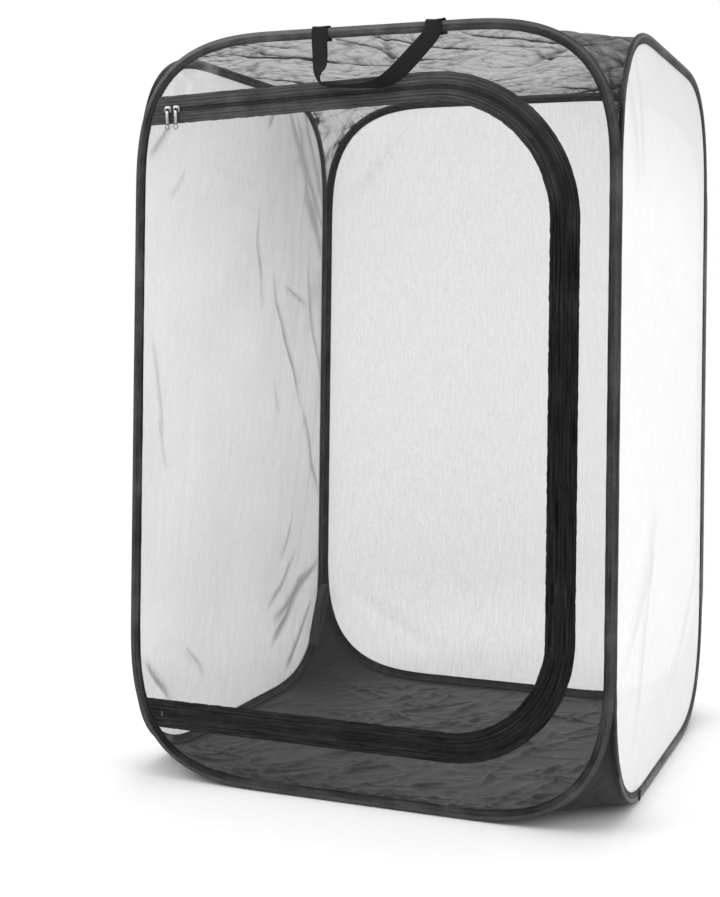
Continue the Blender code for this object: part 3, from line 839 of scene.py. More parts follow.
# Creases of the right net, with the front seam at negative across, and of the back net, with the right seam
right_creases = [
    ((-0.26, 0.16), (-0.05, 0.34), 0.012, 0.008, 3.0),
    ((-0.20, 0.06), (-0.10, 0.30), 0.010, 0.006, 3.0),
    ((-0.26, 0.86), (-0.20, 0.70), 0.008, 0.006, 2.0),
    ((-0.22, 0.88), (-0.17, 0.72), 0.008, 0.005, 2.0),
    ((0.27, 0.26), (0.05, 0.10), 0.010, 0.006, 2.0),
]
back_creases = [
    ((0.27, 0.74), (0.16, 0.86), 0.008, 0.005, 1.5),
    ((0.26, 0.14), (0.10, 0.05), 0.010, 0.004, 1.5),
]


def arc(centre, radius, start, end, steps):
    """Points of a round arc between two angles."""
    angles = np.linspace(start, end, steps + 1)
    return [(centre[0] + radius * cos(angle), centre[1] + radius * sin(angle)) for angle in angles]


def top_level(offset, x):
    """Height of the zipper's top run at x, for a line at a distance outside its centre."""
    radius = zip_top_radius + offset
    arc_x = zip_right - zip_top_radius - radius * sin(zip_slope)
    arc_z = zip_top - zip_top_radius + radius * cos(zip_slope)
    return arc_z - (arc_x - x) * math.tan(zip_slope)


def zip_line(offset, top_start, foot_start):
    """Line at a distance outside the zipper's centre, from its upper to its lower end."""
    top, foot = zip_top_radius, zip_foot_radius
    line = [(top_start, top_level(offset, top_start))]
    line += arc((zip_right - top, zip_top - top), top + offset, pi / 2 + zip_slope, 0, 32)
    line += arc((zip_right - foot, zip_bottom + foot), foot + offset, 0, -pi / 2, 32)
    return line + [(foot_start, zip_bottom - offset)]


# The zipper's centre line, from its upper to its lower end at the front binding
zip_points = zip_line(0, tape_start, tape_start)
zip_along = along_line(zip_points)
zip_length = zip_along[-1]


def along_zip(x, top):
    """Distance along the centre line of a place x on the top run or on the bottom run."""
    return (x - tape_start) / cos(zip_slope) if top else zip_length - (x - tape_start)


def zip_part(start, end, spacing):
    """The part of the zipper's centre line between two distances from its upper end."""
    wanted = np.linspace(start, end, max(int((end - start) / spacing), 1) + 1)
    centre, ahead, behind = (points_at(wanted + step, zip_along, zip_points) for step in (0, 0.001, -0.001))
    return centre, unit_ways(ahead, behind), wanted


def hoop_edge_x(height, inset=0.0120):
    """Where the front binding's lip stands on the left at a height, as a value of x."""
    reach = corner_reach - inset
    into = max(corner_reach - height, height - (cage_height - corner_reach), 0)
    share = min(into / reach, 1)
    return corner_reach - half_width - reach * (1 - share ** corner_squareness) ** (1 / corner_squareness)


def tape_section(side):
    """Section of one zipper tape, from its edge in the coil over two ribs, and its number of front points."""
    front = [(0.00002, 0.0003), (0.0030, 0.0004), (0.0042, 0.0004), (0.0050, 0.0003), (0.0056, 0.0008),
             (0.0066, 0.0011), (0.0078, 0.0010), (0.0088, 0.0008), (0.0093, 0.0002), (0.0098, 0.0007),
             (0.0108, 0.0011), (0.0120, 0.0010), (0.0128, 0.0007), (0.0133, 0.0002), (0.0139, 0.0006),
             (0.0150, 0.0009), (0.0162, 0.0006), (0.0170, 0.0002)]
    back = [(0.0170, -tape_half), (0.0100, -tape_half), (0.00002, -tape_half)]
    return [(side * offset, out) for offset, out in front + back], len(front)


# Painted light and shade of a tape along the zipper: a painted highlight at the start of the top run, painted
# shade on the right and bottom runs; and painted shade over its width in the grooves between its ribs, darker
# at its raw edge
run_places = (0.0, 0.10, 0.37, 0.50, 0.62, 1.07, 1.30, 1.67)
run_shade = (-0.16, -0.08, 0.14, 0.52, 0.84, 0.86, 0.76, 0.68)
rib_offsets = (0.0, 0.0042, 0.0050, 0.0058, 0.0076, 0.0088, 0.0093, 0.0099, 0.0120, 0.0128, 0.0133, 0.0139,
               0.0160, 0.0170)
groove_shade = (0.30, 0.25, 0.80, 0.10, 0.05, 0.25, 0.80, 0.10, 0.05, 0.25, 0.80, 0.10, 0.20, 0.75)


def add_tape(name, side, start, end, body, replaced, ragged):
    """One tape of the zipper between two distances along it; its ends at the front binding follow that."""
    section, skin = tape_section(side)
    centre, way, along = zip_part(start, end, 0.004)
    near_end = 0.05
    rings = []
    for (x, z), step, place in zip(centre, way, along):
        ring = []
        wander = rounded(place * 160, side, 2.0) + 0.6 * rounded(place * 47, side, 4.0)
        for corner, (offset, out) in enumerate(section):
            reach = abs(offset)
            offset += ragged * max(reach - 0.012, 0) / 0.005 * wander * side
            if corner < skin and reach > 0.005:
                out += 0.00035 * rounded(place * 38, reach * 400, 6.0 + side)
                out += 0.00020 * rounded(place * 150, reach * 900, 9.0 + side)
            px, pz = x - step[1] * offset, z + step[0] * offset
            away = min(place, zip_length - place)
            if away < near_end:
                pull = (hoop_edge_x(pz) - tape_start) * (1 - away / near_end)
                px += pull
                if place < near_end:
                    pz += pull * math.tan(zip_slope)
            ring.append(Vector((px, tape_plane - out, pz)))
        rings.append(ring)

    def ribs(ring, corner):
        reach, place = abs(section[corner][0]), along[ring]
        patch = rounded(place * 22, reach * 500, 14.0 + side) + 0.5 * rounded(place * 90, reach * 900, 3.0)
        mark = np.interp(reach, rib_offsets, groove_shade) * 0.7
        # Painted shade in the grooves, painted highlight and shade along the runs, and random patches
        return clipped(mark + np.interp(place, run_places, run_shade) * (1 - mark) + 0.22 * patch)

    piece = loft(name, rings, along, section, False, ribs, tape_cloth, body, "zip_tape", replaced)


def tooth_shape(centre, aside, along, out, skew):
    """One turn of a coil: a rounded bead, longer across the chain."""
    along = (along + aside * skew).normalized()
    aside = (aside - along * aside.dot(along)).normalized()
    half, half_thick, height = 0.00168, 0.00052, 0.00115
    angles = [corner * pi / 3 for corner in range(6)]
    rings = [
        [centre + aside * half * share + along * half_thick * size * cos(angle)
         + out * height * size * sin(angle) for angle in angles]
        for share, size in ((-0.75, 0.72), (0.0, 1.0), (0.75, 0.72))
    ]
    return bead(centre - aside * half, rings, centre + aside * half)


def add_coil(name, side, start, end, body, replaced):
    """One side of the coil; the turns of the two sides stand half a pitch apart."""
    first = (math.ceil(start / coil_pitch) + (0.25 if side > 0 else 0.75)) * coil_pitch
    count = int((end - first - coil_pitch / 4) / coil_pitch)
    centre, way, _ = zip_part(first, first + count * coil_pitch, coil_pitch)
    shapes = []
    for (across, up), step in zip(centre, way):
        along = Vector((step[0], 0, step[1]))
        aside = Vector((-step[1], 0, step[0])) * side
        place = Vector((across, tape_plane, up)) + aside * chain_middle
        shapes.append(tooth_shape(place, aside, along, Vector((0, -1, 0)), 0.25 * side))
    add_many(name, shapes, coil_nylon, body, "zip_coil", replaced)


def add_zipper():
    """Both sides of the zipper, with the short ends of the inner side that stay on the front."""
    top_first, foot_last = along_zip(top_end + chain_inset, True), along_zip(foot_end + chain_inset, False)
    top_fold, foot_fold = along_zip(door_fold, True), along_zip(door_fold, False)
    door = along_zip(door_edge, True), along_zip(door_edge, False)
    parts = (
        ("outer", "", 1, (0, zip_length), (top_first, foot_last), "front", 0.0006),
        ("end", "_top", -1, (0, top_fold), (top_first, top_fold), "front", 0.0003),
        ("end", "_bottom", -1, (foot_fold, zip_length), (foot_fold, foot_last), "front", 0.0003),
        ("inner", "", -1, door, door, "door", 0.0010),
    )
    for part, end, side, tape, coil, body, ragged in parts:
        add_tape(f"zip_{part}_band{end}", side, *tape, body, f"zip_{part}_tape{end}", ragged)
        add_coil(f"zip_{part}_coil{end}", side, *coil, body, f"zip_{part}_chain{end}")


# Crumpled patches of the film's margin: centre, reach, height, scale, seed
film_patches = (((-0.262, 0.855), 0.10, 0.012, 30.0, 5.0), ((-0.270, 0.070), 0.045, 0.005, 60.0, 9.0))


def near_patch(points, centre, reach):
    """1 at the centre of a patch, 0 outside it."""
    away = np.linalg.norm(points - np.array(centre), axis=1)
    return np.clip(1 - away / reach, 0, 1) ** 1.5


def add_film():
    """The clear margin of the front and the clear door in it."""
    notch = [
        (foot_end, zip_bottom + film_edge), (door_fold, zip_bottom + film_edge),
        (door_fold, top_level(-film_edge, door_fold)), (top_end, top_level(-film_edge, top_end)),
    ]
    hole = zip_line(film_edge, top_end, foot_end) + notch
    outline = hoop_outline(half_width, panel_inset)

    def margin_height(points, away):
        out = rough_ground(points, 6.0, 31.0, 2) * 0.0022
        for centre, reach, height, scale, seed in film_patches:
            out -= near_patch(points, centre, reach) * height * ridged(points, scale, seed, turn=0.7)
        return out * rise_from_edge(away, 0.005, 0.014)

    def margin_folds(points, away):
        # Whitish streaks on the crumpled patches: painted glints
        patches = sum(near_patch(points, centre, reach) for centre, reach, _, _, _ in film_patches)
        return np.clip(patches * ridged(points, 30.0, 5.0, turn=0.7) ** 3 * 1.2, 0, 1)

    margin = add_sheet("film_margin_sheet", "front", [outline, hole], 0.006, margin_height, margin_folds,
                       film, "front", "clear_film", "film_margin")

    def door_height(points, away):
        out = rough_ground(points, 4.0, 51.0, 2) * 0.0035
        out -= crease(points, (-0.22, 0.79), (-0.10, 0.60), 0.010, 0.004, 2.0)
        out -= crease(points, (-0.222, 0.12), (-0.12, 0.24), 0.010, 0.004, 2.0)
        return out * rise_from_edge(away, 0.007, 0.03)

    loop = zip_line(-film_edge, door_edge, door_edge)
    door = add_sheet("door_film_sheet", "front", [loop], 0.009, door_height, None,
                     film, "door", "clear_film", "door_film")


def cloth_lines(edge, reach, plain):
    """Distances from the middle at which a floor or roof has its rows: close together in the corners."""
    steps = 30
    near = [edge - reach + corner_point(reach, 1 - step / steps)[0] for step in range(steps + 1)]
    half = [near[0] * step / plain for step in range(1, plain)] + [near[0]]
    for here, after in zip(near, near[1:]):
        parts = math.ceil((after - here) / 0.0035)
        half.extend(here + (after - here) * part / parts for part in range(1, parts + 1))
    return [-value for value in reversed(half)] + [0] + half


def corner_rise(edge, reach, held):
    """How far a floor or roof has left its flat part where it bends into a corner between two hoops."""
    inside = (edge - np.abs(held)).sum(axis=1)
    share = np.clip(1 - inside / reach, 0, 1)
    return reach * (1 - (1 - share ** corner_squareness) ** (1 / corner_squareness))


def split_by_wall(flat, count):
    """Faces of a square grid, split on its diagonals and listed by the wall that each lies nearest."""
    faces_of = {side: [] for side in outward}
    for column in range(count - 1):
        for row in range(count - 1):
            a, b = column * count + row, (column + 1) * count + row
            c, d = b + 1, a + 1
            faces = [(a, b, c, d)]
            if column == row:
                faces = [(a, b, c), (a, c, d)]
            elif column + row == count - 2:
                faces = [(a, b, d), (b, c, d)]
            for face in faces:
                x, y = flat[list(face)].mean(axis=0)
                side = ("right" if x > 0 else "left") if abs(x) > abs(y) else ("back" if y > 0 else "front")
                faces_of[side].append(face)
    return faces_of


def vertex_normals(points, faces):
    mesh = bpy.data.meshes.new("whole_cloth")
    mesh.from_pydata([tuple(point) for point in points], [], faces)
    normals = np.array([tuple(vertex.normal) for vertex in mesh.vertices])
    bpy.data.meshes.remove(mesh)
    return normals


def thickened(points, normals, faces, uvs, flat, thick):
    """A sheet given an underside and a rim."""
    total = len(points)
    rim = dict.fromkeys(pair for face in faces for pair in zip(face, face[1:] + face[:1]))
    border = [(here, after) for here, after in rim if (after, here) not in rim]
    rim_faces = [(here, total + here, total + after, after) for here, after in border]
    under_faces = [tuple(total + corner for corner in reversed(face)) for face in faces]
    uvs = uvs + [corners[::-1] for corners in uvs]
    uvs += [[tuple(flat[corner % total]) for corner in face] for face in rim_faces]
    points = np.concatenate([points, points - normals * thick])
    return points, np.concatenate([normals, -normals]), faces + under_faces + rim_faces, uvs


def add_end_cloth(name, tuck, level, direction, height, folds, thick, material, slot, replaced):
    """Floor or roof as four pieces that meet on the diagonals, one on each wall, flattened as the cage folds.

    Its edge is tucked a little further out, into the binding.
    """
    edge = inner_edge - clearance - 0.0005
    reach = corner_reach - (level if direction > 0 else cage_height - level)
    lines = [-edge - tuck] + cloth_lines(edge, reach, 34) + [edge + tuck]
    across, along = np.meshgrid(lines, lines, indexing="ij")
    flat = np.column_stack([across.ravel(), along.ravel()])
    held = np.clip(flat, -edge, edge)
    inward = edge - np.abs(held).max(axis=1)
    rise = direction * corner_rise(edge, reach, held)
    points = np.column_stack([flat, level + rise + height(held, inward)])
    marks = folds(flat, inward)
    faces_of = split_by_wall(flat, len(lines))
    normals = vertex_normals(points, [face for faces in faces_of.values() for face in faces])
    for side, faces in faces_of.items():
        used = sorted({corner for face in faces for corner in face})
        number = {corner: index for index, corner in enumerate(used)}
        uvs = [[tuple(flat[corner]) for corner in face] for face in faces]
        own_faces = [tuple(number[corner] for corner in face) for face in faces]
        made = points[used], normals[used], own_faces, uvs
        if thick:
            made = thickened(*made, flat[used], thick)
        own_points, own_normals, own_faces, uvs = made
        own_marks = np.resize(marks[used], len(own_points))
        piece = add_piece(f"{name}_{side}", own_points, own_faces, uvs, own_marks,
                          material, side, slot, replaced)
        piece.data.normals_split_custom_set_from_vertices([tuple(normal) for normal in own_normals])
        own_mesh(piece)


def scattered_creases(count, seed, lean, spread, lengths, widths, heights):
    """Creases strewn over a floor or roof, most of them along one direction."""
    draw = random.Random(seed)
    made = []
    for _ in range(count):
        x, y = draw.uniform(-0.27, 0.27), draw.uniform(-0.28, 0.27)
        angle = draw.gauss(lean, spread)
        half = draw.uniform(*lengths) / 2
        dx, dy = half * cos(angle), half * sin(angle)
        made.append(((x - dx, y - dy), (x + dx, y + dy), draw.uniform(*widths), draw.uniform(*heights), 1.0))
    return made


floor_creases = scattered_creases(110, 12, 1.22, 0.28, (0.05, 0.17), (0.0026, 0.0050), (0.0012, 0.0034))
floor_creases += scattered_creases(45, 5, -0.30, 0.60, (0.03, 0.12), (0.0026, 0.0050), (0.0010, 0.0028))


def add_floor():
    """The creased floor cloth, with gathers along its front."""

    def height(points, inward):
        slow = (rough_ground(points, 7.0, 2.0, 3) + 0.6) * 0.0016
        ridges = ridged(points, 7.0, 11.0, (0.5, 2.2), 1.2) ** 3 * 0.0026
        cross = ridged(points, 9.0, 17.0, (0.7, 2.4), 0.4) ** 4 * 0.0014
        gathers = ridged(points, 26.0, 23.0, (0.8, 1.6), 0.3) ** 2 * 0.0035
        gathers *= np.exp(-((points[:, 1] + 0.265) / 0.02) ** 2)
        creased = lay(warped(points, 7.0, 0.020, 91.0), floor_creases)
        moved = np.maximum(slow, 0) + ridges + cross + gathers + creased
        return moved * rise_from_edge(inward, 0.0, 0.02)

    def folds(points, inward):
        bent = warped(points, 7.0, 0.020, 91.0)
        # Painted highlights on the crease crests, painted shade beside them, along the front and at the edges
        crests, beside = (
            lay(bent, floor_creases, widen, lambda rise: rise / 0.0036, np.maximum) for widen in (0.6, 2.2)
        )
        near_front = np.exp(-((points[:, 1] + 0.285) / 0.012) ** 2) * 0.45
        near_edge = np.exp(-(inward / 0.005) ** 2) * 0.5
        return np.clip(0.45 * beside - 0.62 * crests + near_front + near_edge, -1, 1)

    add_end_cloth("floor_sheet", 0.0033, 0.0010, 1, height, folds, 0.0008,
                  floor_weave, "floor_cloth", "floor_cloth")


# Creases of the roof net: start, end, width, height, spread
roof_creases = [
    ((-0.25, -0.26), (-0.02, -0.08), 0.005, 0.0040, 2.0),
    ((-0.20, -0.285), (-0.10, -0.12), 0.004, 0.0030, 2.0),
    ((-0.06, -0.285), (0.03, -0.06), 0.004, 0.0040, 2.4),
    ((-0.02, -0.285), (0.10, -0.14), 0.004, 0.0040, 2.0),
    ((0.09, -0.285), (0.26, -0.12), 0.004, 0.0045, 2.0),
    ((0.05, -0.285), (-0.06, -0.10), 0.004, 0.0030, 2.0),
    ((0.25, -0.22), (0.10, -0.02), 0.005, 0.0045, 2.0),
    ((0.28, -0.06), (0.14, 0.10), 0.005, 0.0040, 2.0),
    ((0.27, 0.10), (0.10, 0.26), 0.006, 0.0050, 1.6),
    ((0.28, 0.24), (0.10, 0.14), 0.005, 0.0050, 1.6),
    ((-0.27, 0.12), (-0.08, 0.27), 0.006, 0.0045, 1.6),
    ((-0.28, -0.05), (-0.06, 0.12), 0.005, 0.0040, 2.0),
    ((-0.10, 0.28), (0.08, 0.16), 0.005, 0.0040, 2.0),
]
roof_creases += scattered_creases(60, 21, 1.35, 0.35, (0.05, 0.18), (0.0028, 0.0050), (0.0008, 0.0024))
roof_creases += scattered_creases(30, 33, -0.20, 0.6, (0.04, 0.14), (0.0028, 0.0045), (0.0006, 0.0018))
roof_fold_height = 0.0080
roof_fold_count = 5


def add_roof():
    """The slack roof net, with broad folds and creases."""

    def height(points, inward):
        x, y = points[:, 0] / inner_edge, points[:, 1] / inner_edge
        wave = (1 + np.sin(roof_fold_count * pi * (x + y) / 2)) / 2
        out = -roof_fold_height * np.maximum((1 - x ** 2) * (1 - y ** 2), 0) * wave
        fine = ridged(points, 16.0, 45.0, (0.6, 1.8), -0.7) ** 3 * 0.0012
        creased = lay(warped(points, 6.0, 0.035, 81.0), roof_creases)
        return out - (fine + creased) * rise_from_edge(inward, 0.0, 0.03)

    def folds(points, inward):
        # Marks that make the net denser, as doubled net, and darker, as painted shade: in its wrinkles,
        # creases and at its edges, and darker towards the back right
        marks = ridged(points, 16.0, 45.0, (0.6, 1.8), -0.7) ** 8 * 0.45
        marks += ridged(points, 24.0, 49.0, (0.5, 2.0), 0.4) ** 8 * 0.40
        bent = warped(points, 6.0, 0.035, 81.0)
        marks += lay(bent, roof_creases, 0.8, lambda rise: min(0.02 + rise / 0.008, 0.5))
        marks += np.exp(-(inward / 0.012) ** 2) * ridged(points, 60.0, 71.0) ** 3
        slack = 0.35 * share_of(points.sum(axis=1), 0.18, 0.38)
        return np.clip(marks + slack, 0, 1)

    add_end_cloth("roof_sheet", 0.0022, roof_level, -1, height, folds, 0,
                  dark_net, "black_net", "roof_net")


def webbing_section(half, thin, crown):
    """Section of flat webbing with rounded edges, over the points of its crown."""
    edge = half - 0.0004
    return [(-half, 0), (-edge, thin), *crown, (edge, thin), (half, 0), (edge, -thin), (0, -thin),
            (-edge, -thin)]


def smooth_route(points, spacing):
    """A route through points, smoothed, with the values that go with them; each row is (x, y, z, twist)."""
    rows = np.array(points, float)
    for _ in range(3):
        cut = [rows[0]]
        for here, after in zip(rows, rows[1:]):
            cut.extend([here * 0.75 + after * 0.25, here * 0.25 + after * 0.75])
        rows = np.array(cut + [rows[-1]])
    along = along_line(rows[:, :3])
    wanted = np.linspace(0, along[-1], int(along[-1] / spacing) + 1)
    return points_at(wanted, along, rows), wanted


def add_handle():
    """Webbing over the front hoop at two places and the strap that hangs between them, with its twists."""
    off_plane = binding_half + clearance + webbing_half
    behind, before = off_plane - wall_plane, -off_plane - wall_plane
    over = cage_height + clearance + webbing_half
    # Over the hoop, from the sewn end inside the cage to the front: share of the end's lean aside, y and z
    wrap = ((1, behind, 0.8840), (0.9, behind, 0.8900), (0.7, behind, 0.8985), (0.6, behind - 0.0006, over),
            (0.3, -wall_plane, over + 0.0001), (0, before + 0.0006, over), (0, before, 0.8985),
            (0, before, 0.8900), (0, before - 0.0003, 0.8870))
    # Down, across and up to the right wrap: x from the left wrap, y in front of the hoop, z and twist
    hanging = (
        (0.0005, -0.0006, 0.879, 2), (0.0015, -0.0012, 0.868, 4), (0.0020, -0.0022, 0.858, 8),
        (0.0022, -0.0040, 0.849, 22), (0.0030, -0.0068, 0.8405, 58), (0.0060, -0.0090, 0.834, 82),
        (0.0150, -0.0100, 0.830, 88), (0.035, -0.0100, 0.8285, 88), (0.058, -0.0100, 0.828, 84),
        (0.076, -0.0095, 0.829, 70), (0.090, -0.0085, 0.8345, 50), (0.102, -0.0070, 0.844, 32),
        (0.114, -0.0048, 0.8565, 18), (0.126, -0.0028, 0.870, 9), (0.135, -0.0012, 0.880, 4),
    )
    route = [(handle_left + 0.003 * lean, y, z, 0) for lean, y, z in wrap]
    route += [(handle_left + x, before + y, z, twist) for x, y, z, twist in hanging]
    route += [(handle_right + 0.005 * lean, y, z, 0) for lean, y, z in reversed(wrap)]
    rows, along = smooth_route(route, 0.0012)
    centres = [Vector(row[:3]) for row in rows]
    sides, outs = [], []
    for index, centre in enumerate(centres):
        way = (centres[min(index + 1, len(centres) - 1)] - centres[max(index - 1, 0)]).normalized()
        aside = way.cross(Vector((0, -1, 0)))
        first_half = along[index] < along[-1] / 2
        on_top = centre.z > 0.8985 and (not first_half or abs(way.z) < 0.98)
        if aside.length < 0.5 or on_top:
            aside = Vector((1 if first_half else -1, 0, 0))
        aside = (aside - way * aside.dot(way)).normalized()
        aside = Matrix.Rotation(radians(rows[index][3]), 3, way) @ aside
        out = way.cross(aside).normalized()
        if sides and aside.dot(sides[-1]) < 0:
            aside, out = -aside, -out
        sides.append(aside)
        outs.append(out)
    half, thin = webbing_width / 2, webbing_half
    section = webbing_section(half, thin, [(-half * 0.5, thin * 1.12), (0, thin), (half * 0.5, thin * 1.12)])
    piece = sweep("handle_webbing", centres, sides, outs, along, section, False, None, None, webbing_cloth,
                  None, "black_webbing", "handle_strap", "handle_anchor_left", "handle_anchor_right")
    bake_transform(piece)


def add_tie_loop():
    """Tape loop sewn to the left binding near the back seam."""
    tilt = radians(27)
    down = Vector((0, -sin(tilt), -cos(tilt)))
    aside = Vector((0, cos(tilt), -sin(tilt)))
    half_height, half_depth = 0.0494, 0.0104
    centre = Vector((-0.28795, side_half - binding_half - 0.004, 0.140)) + down * 0.050
    count = 72
    centres, sides, outs = [], [], []
    for step in range(count):
        angle = tau * step / count
        pinch = 1 + 0.10 * sin(3 * angle + 0.6)
        cosine, sine = cos(angle), sin(angle)
        centres.append(centre + aside * half_depth * pinch * cosine - down * half_height * sine)
        slope = (-aside * half_depth * sine - down * half_height * cosine).normalized()
        sides.append(Matrix.Rotation(radians(8) * sine, 3, slope) @ Vector((1, 0, 0)))
        outs.append(slope.cross(sides[-1]))
    distances = along_line(centres)
    thin = 0.0005
    section = webbing_section(0.0058, thin, [(0, thin * 1.15)])
    piece = sweep("tie_loop_tape", centres, sides, outs, distances, section, True, None, None, binding_cloth,
                  "left", "binding_tape", "tie_loop")


def add_tab():
    """Folded end of the right binding, low at its front corner."""
    low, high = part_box("right_binding_tab")
    lean = radians(8)
    along = Vector((0, sin(lean), cos(lean)))
    across = Vector((0, cos(lean), -sin(lean)))
    out = Vector((1, 0, 0))
    length, count = 0.0118, 15
    shares = np.linspace(-0.5, 0.5, count)
    middle = (low + high) / 2
    centres = [middle + along * share * length + out * 0.0005 * cos(share * pi) for share in shares]
    half, thin, gap = 0.0025, 0.0005, 0.00006
    section = [(half, thin), (0, thin * 1.2), (-half + 0.0003, thin), (-half, 0), (-half + 0.0003, -thin),
               (half, -thin), (half, -gap), (-half + 0.0005, -gap), (-half + 0.0005, gap), (half, gap)]
    piece = sweep("right_binding_end", centres, [across] * count, [out] * count, shares * length, section,
                  False, None, None, webbing_cloth, "right", "black_webbing", "right_binding_tab")


def smooth_solid(name, build, body, replaced, tilt, bevel=0.00018):
    """A metal piece built in bmesh, tilted, with soft edges."""
    mesh = bpy.data.meshes.new(name)
    shape = bmesh.new()
    build(shape)
    bmesh.ops.transform(shape, matrix=tilt, verts=shape.verts)
    bmesh.ops.recalc_face_normals(shape, faces=shape.faces)
    shape.to_mesh(mesh)
    shape.free()
    mesh.uv_layers.new(name="cloth")
    mesh.attributes.new("fold", "FLOAT", "POINT")
    piece = place_piece(name, mesh, [plate, dark_plate], body, "plated_metal", replaced)
    soft = piece.modifiers.new("soft_edges", "BEVEL")
    soft.width = bevel
    soft.segments = 2
    soft.limit_method = "ANGLE"
    soft.angle_limit = radians(35)


def add_prism(shape, outline, front, back, centre):
    """An outline in x and z, given depth between two y levels."""
    near, far = (
        [shape.verts.new((centre[0] + x, y, centre[1] + z)) for x, z in outline] for y in (front, back)
    )
    shape.faces.new(near)
    shape.faces.new(far[::-1])
    for index in range(len(outline)):
        beyond = (index + 1) % len(outline)
        shape.faces.new((near[index], far[index], far[beyond], near[beyond]))


def add_wire(shape, route, radius, sides=10, closed=False):
    """A round wire along a route of points."""
    rings = []
    count = len(route)
    angles = [tau * corner / sides for corner in range(sides)]
    normal = None
    for index, place in enumerate(route):
        after = route[(index + 1) % count] if closed or index < count - 1 else place
        before = route[index - 1] if closed or index > 0 else place
        way = (after - before).normalized()
        if normal is None:
            normal = way.orthogonal().normalized()
        normal = (normal - way * normal.dot(way)).normalized()
        other = way.cross(normal)
        rings.append([
            shape.verts.new(place + normal * radius * cos(angle) + other * radius * sin(angle))
            for angle in angles
        ])
    for index in range(count if closed else count - 1):
        here, after = rings[index], rings[(index + 1) % count]
        for corner in range(sides):
            beyond = (corner + 1) % sides
            face = shape.faces.new((here[corner], here[beyond], after[beyond], after[corner]))
            # Wires take the darker copy of the plating: painted shade that outlines the rims and rings
            face.material_index = 1
    if not closed:
        shape.faces.new(rings[0])
        shape.faces.new(rings[-1][::-1])


def oval(width, height, corner):
    """A rounded rectangle about the middle."""
    x, z = width / 2 - corner, height / 2 - corner
    quarter = pi / 2
    points = []
    for turn, middle in enumerate(((x, z), (-x, z), (-x, -z), (x, -z))):
        points += arc(middle, corner, turn * quarter, (turn + 1) * quarter, 6)
    return points


def box_outline(half_x, low, high):
    return [(-half_x, low), (half_x, low), (half_x, high), (-half_x, high)]


def add_slider(which):
    """Slider with its bail, and its pull with a ring."""
    x = slider_xs[which]
    level = top_level(0, x)
    place = Matrix.Translation((x, 0, level))
    tilt = place @ Matrix.Rotation(-zip_slope, 4, "Y") @ place.inverted()
    channel, outer, web, slot_half = 0.0015, 0.0026, 0.00025, 0.00075
    front = tape_plane - outer

    def body(shape):
        plate_outline = oval(0.0088, 0.0088, 0.0024)
        prisms = [
            (plate_outline, -outer, -channel), (plate_outline, channel, outer),
            (box_outline(0.0040, -web, web), -channel, channel),
        ]
        for middle in (0.0037, -0.0037):
            flange = box_outline(0.0036, middle - 0.0004, middle + 0.0004)
            prisms += [(flange, -channel, -slot_half), (flange, slot_half, channel)]
        prisms.append((oval(0.0052, 0.0030, 0.0012), -outer - 0.0003, -outer + 0.0001))
        for outline, near, far in prisms:
            add_prism(shape, outline, tape_plane + near, tape_plane + far, (x, level))

    def bail(shape):
        route = []
        for step in range(17):
            angle = pi * step / 16
            rise = (front - bail_plane) * min(1.0, 1.35 * sin(angle))
            route.append(Vector((x - 0.0031 * cos(angle), front - rise + 0.0001, level)))
        add_wire(shape, route, 0.00055)

    def pull(shape):
        for offset in (-0.0008, 0.0, 0.0008):
            ring = arc((bail_plane, level), 0.00128, 0, tau, 20)[:-1]
            add_wire(shape, [Vector((x + offset, y, z)) for y, z in ring], 0.00038, 8, True)
        top, foot = -0.0013, -0.0185
        length, middle = top - foot, level + (top + foot) / 2
        add_prism(shape, oval(0.0042, length, 0.0012), bail_plane - 0.0003, bail_plane + 0.0003, (x, middle))
        rim = oval(0.0040, length - 0.0002, 0.0011)
        add_wire(shape, [Vector((x + aside, bail_plane, middle + up)) for aside, up in rim], 0.0005, 8, True)
        ridge = oval(0.0012, 0.0110, 0.0005)
        add_prism(shape, ridge, bail_plane - 0.0005, bail_plane - 0.0001, (x, middle))
        drop = []
        for step in range(24):
            angle = tau * step / 24
            aside = 0.0029 * sin(angle) * (0.80 - 0.20 * cos(angle))
            drop.append(Vector((x + aside, bail_plane - 0.0002, level - 0.0209 + 0.0036 * cos(angle))))
        add_wire(shape, drop, 0.00045, 8, True)

    node = f"slider_{which}"
    smooth_solid(f"{node}_body", body, node, node, tilt)
    smooth_solid(f"{node}_arch", bail, node, f"{node}_bail", tilt)
    smooth_solid(f"{node}_tab", pull, f"{node}_pull", f"{node}_pull", tilt, 0.00008)


def dress_kept_nodes():
    """Better finishes for the CAD nodes that stay: spring hoops, crimped sleeves and zipper stops."""
    finishes = {"zip_stop_top": dark_plate, "zip_stop_bottom": dark_plate}
    for wall in walls:
        finishes[f"{wall}_spring_hoop"] = steel
        finishes[f"{wall}_hoop_sleeve"] = plate
    for node, finish in finishes.items():
        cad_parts[node].material_slots[0].material = finish


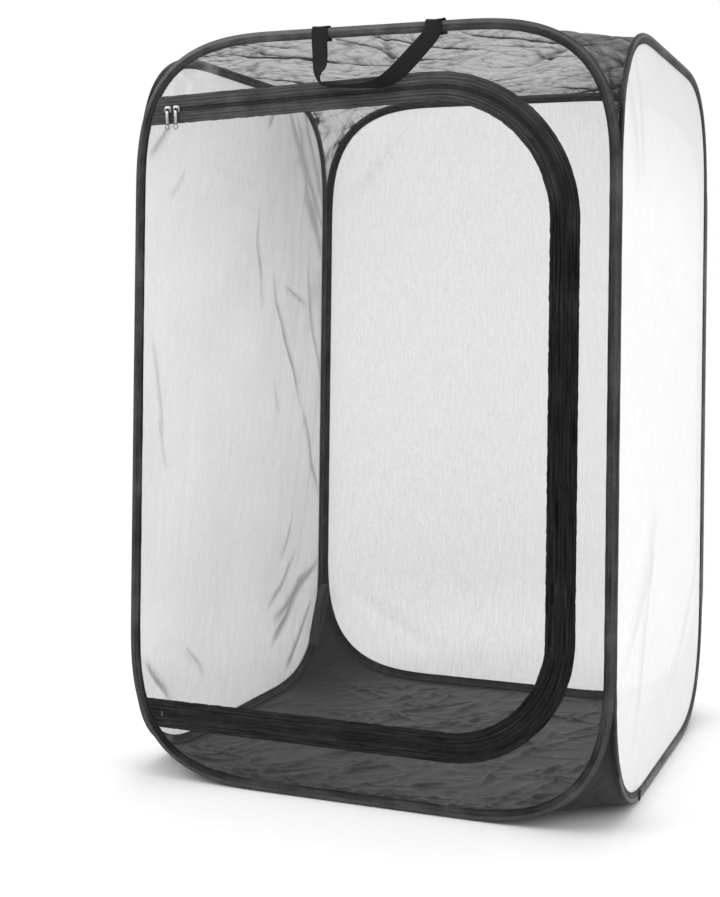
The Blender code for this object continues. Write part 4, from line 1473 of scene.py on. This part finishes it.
def add_light():
    """A white world, four soft lamps and a pale ground that keeps the shadow."""
    world = bpy.data.worlds.new("studio")
    bpy.context.scene.world = world
    sky = Nodes(world, "Background")
    sky.put(sky.shader.inputs[0], (1, 1, 1))
    sky.put(sky.shader.inputs[1], sky.ramp(sky.seen_rays(), 0.0, 1.0, 0.86, 1.0))

    lamps = (
        ("key", (-1.7, -2.0, 2.4), 1.6, 26),
        ("fill", (2.2, -1.2, 1.5), 1.8, 11),
        ("top", (0.2, 0.2, 3.0), 2.0, 18),
        ("rear", (-0.6, 2.4, 1.4), 2.0, 14),
    )
    for name, place, size, power in lamps:
        data = bpy.data.lights.new(name, "AREA")
        data.shape = "SQUARE"
        data.size = size
        data.energy = power
        lamp = add_object(name, data)
        lamp.location = place
        aim = Vector((0, 0, 0.45)) - Vector(place)
        lamp.rotation_euler = aim.to_track_quat("-Z", "Y").to_euler()

    mesh = bpy.data.meshes.new("ground")
    reach = 14
    corners = [(-reach, -reach, 0), (reach, -reach, 0), (reach, reach, 0), (-reach, reach, 0)]
    mesh.from_pydata(corners, [], [(0, 1, 2, 3)])
    ground = add_object("ground", mesh)
    ground.location = (0, 0, -0.0006)
    made = Nodes(bpy.data.materials.new("ground_paper"))
    place = made.object_place()
    grain = made.noise(place, 60.0, 3.0)
    made.set(colour=made.mix_colour(grain, grey(0.93), grey(0.97)), rough=0.9, specular=0.1)
    glow = made.add("Emission", {"Color": (1, 1, 1), "Strength": 1.0})
    away = made.add("VectorMath", {0: place}, "Value", operation="LENGTH")
    far = made.maths("MULTIPLY", made.ramp(away, 0.55, 1.3), made.seen_rays())
    mix = made.add("MixShader", {0: far, 1: made.shader.outputs[0], 2: glow})
    made.put(made.tree.nodes["Material Output"].inputs[0], mix)
    mesh.materials.append(made.owner)


add_camera()
bpy.context.scene.view_settings.view_transform = "Standard"
add_light()
for wall_name in walls:
    add_binding(wall_name)
add_left_net()
add_plain_net("right", 3.0, right_creases, right_mesh)
add_plain_net("back", 17.0, back_creases, back_mesh)
add_film()
add_zipper()
add_floor()
add_roof()
add_handle()
add_tie_loop()
add_tab()
for slider_name in slider_xs:
    add_slider(slider_name)
dress_kept_nodes()
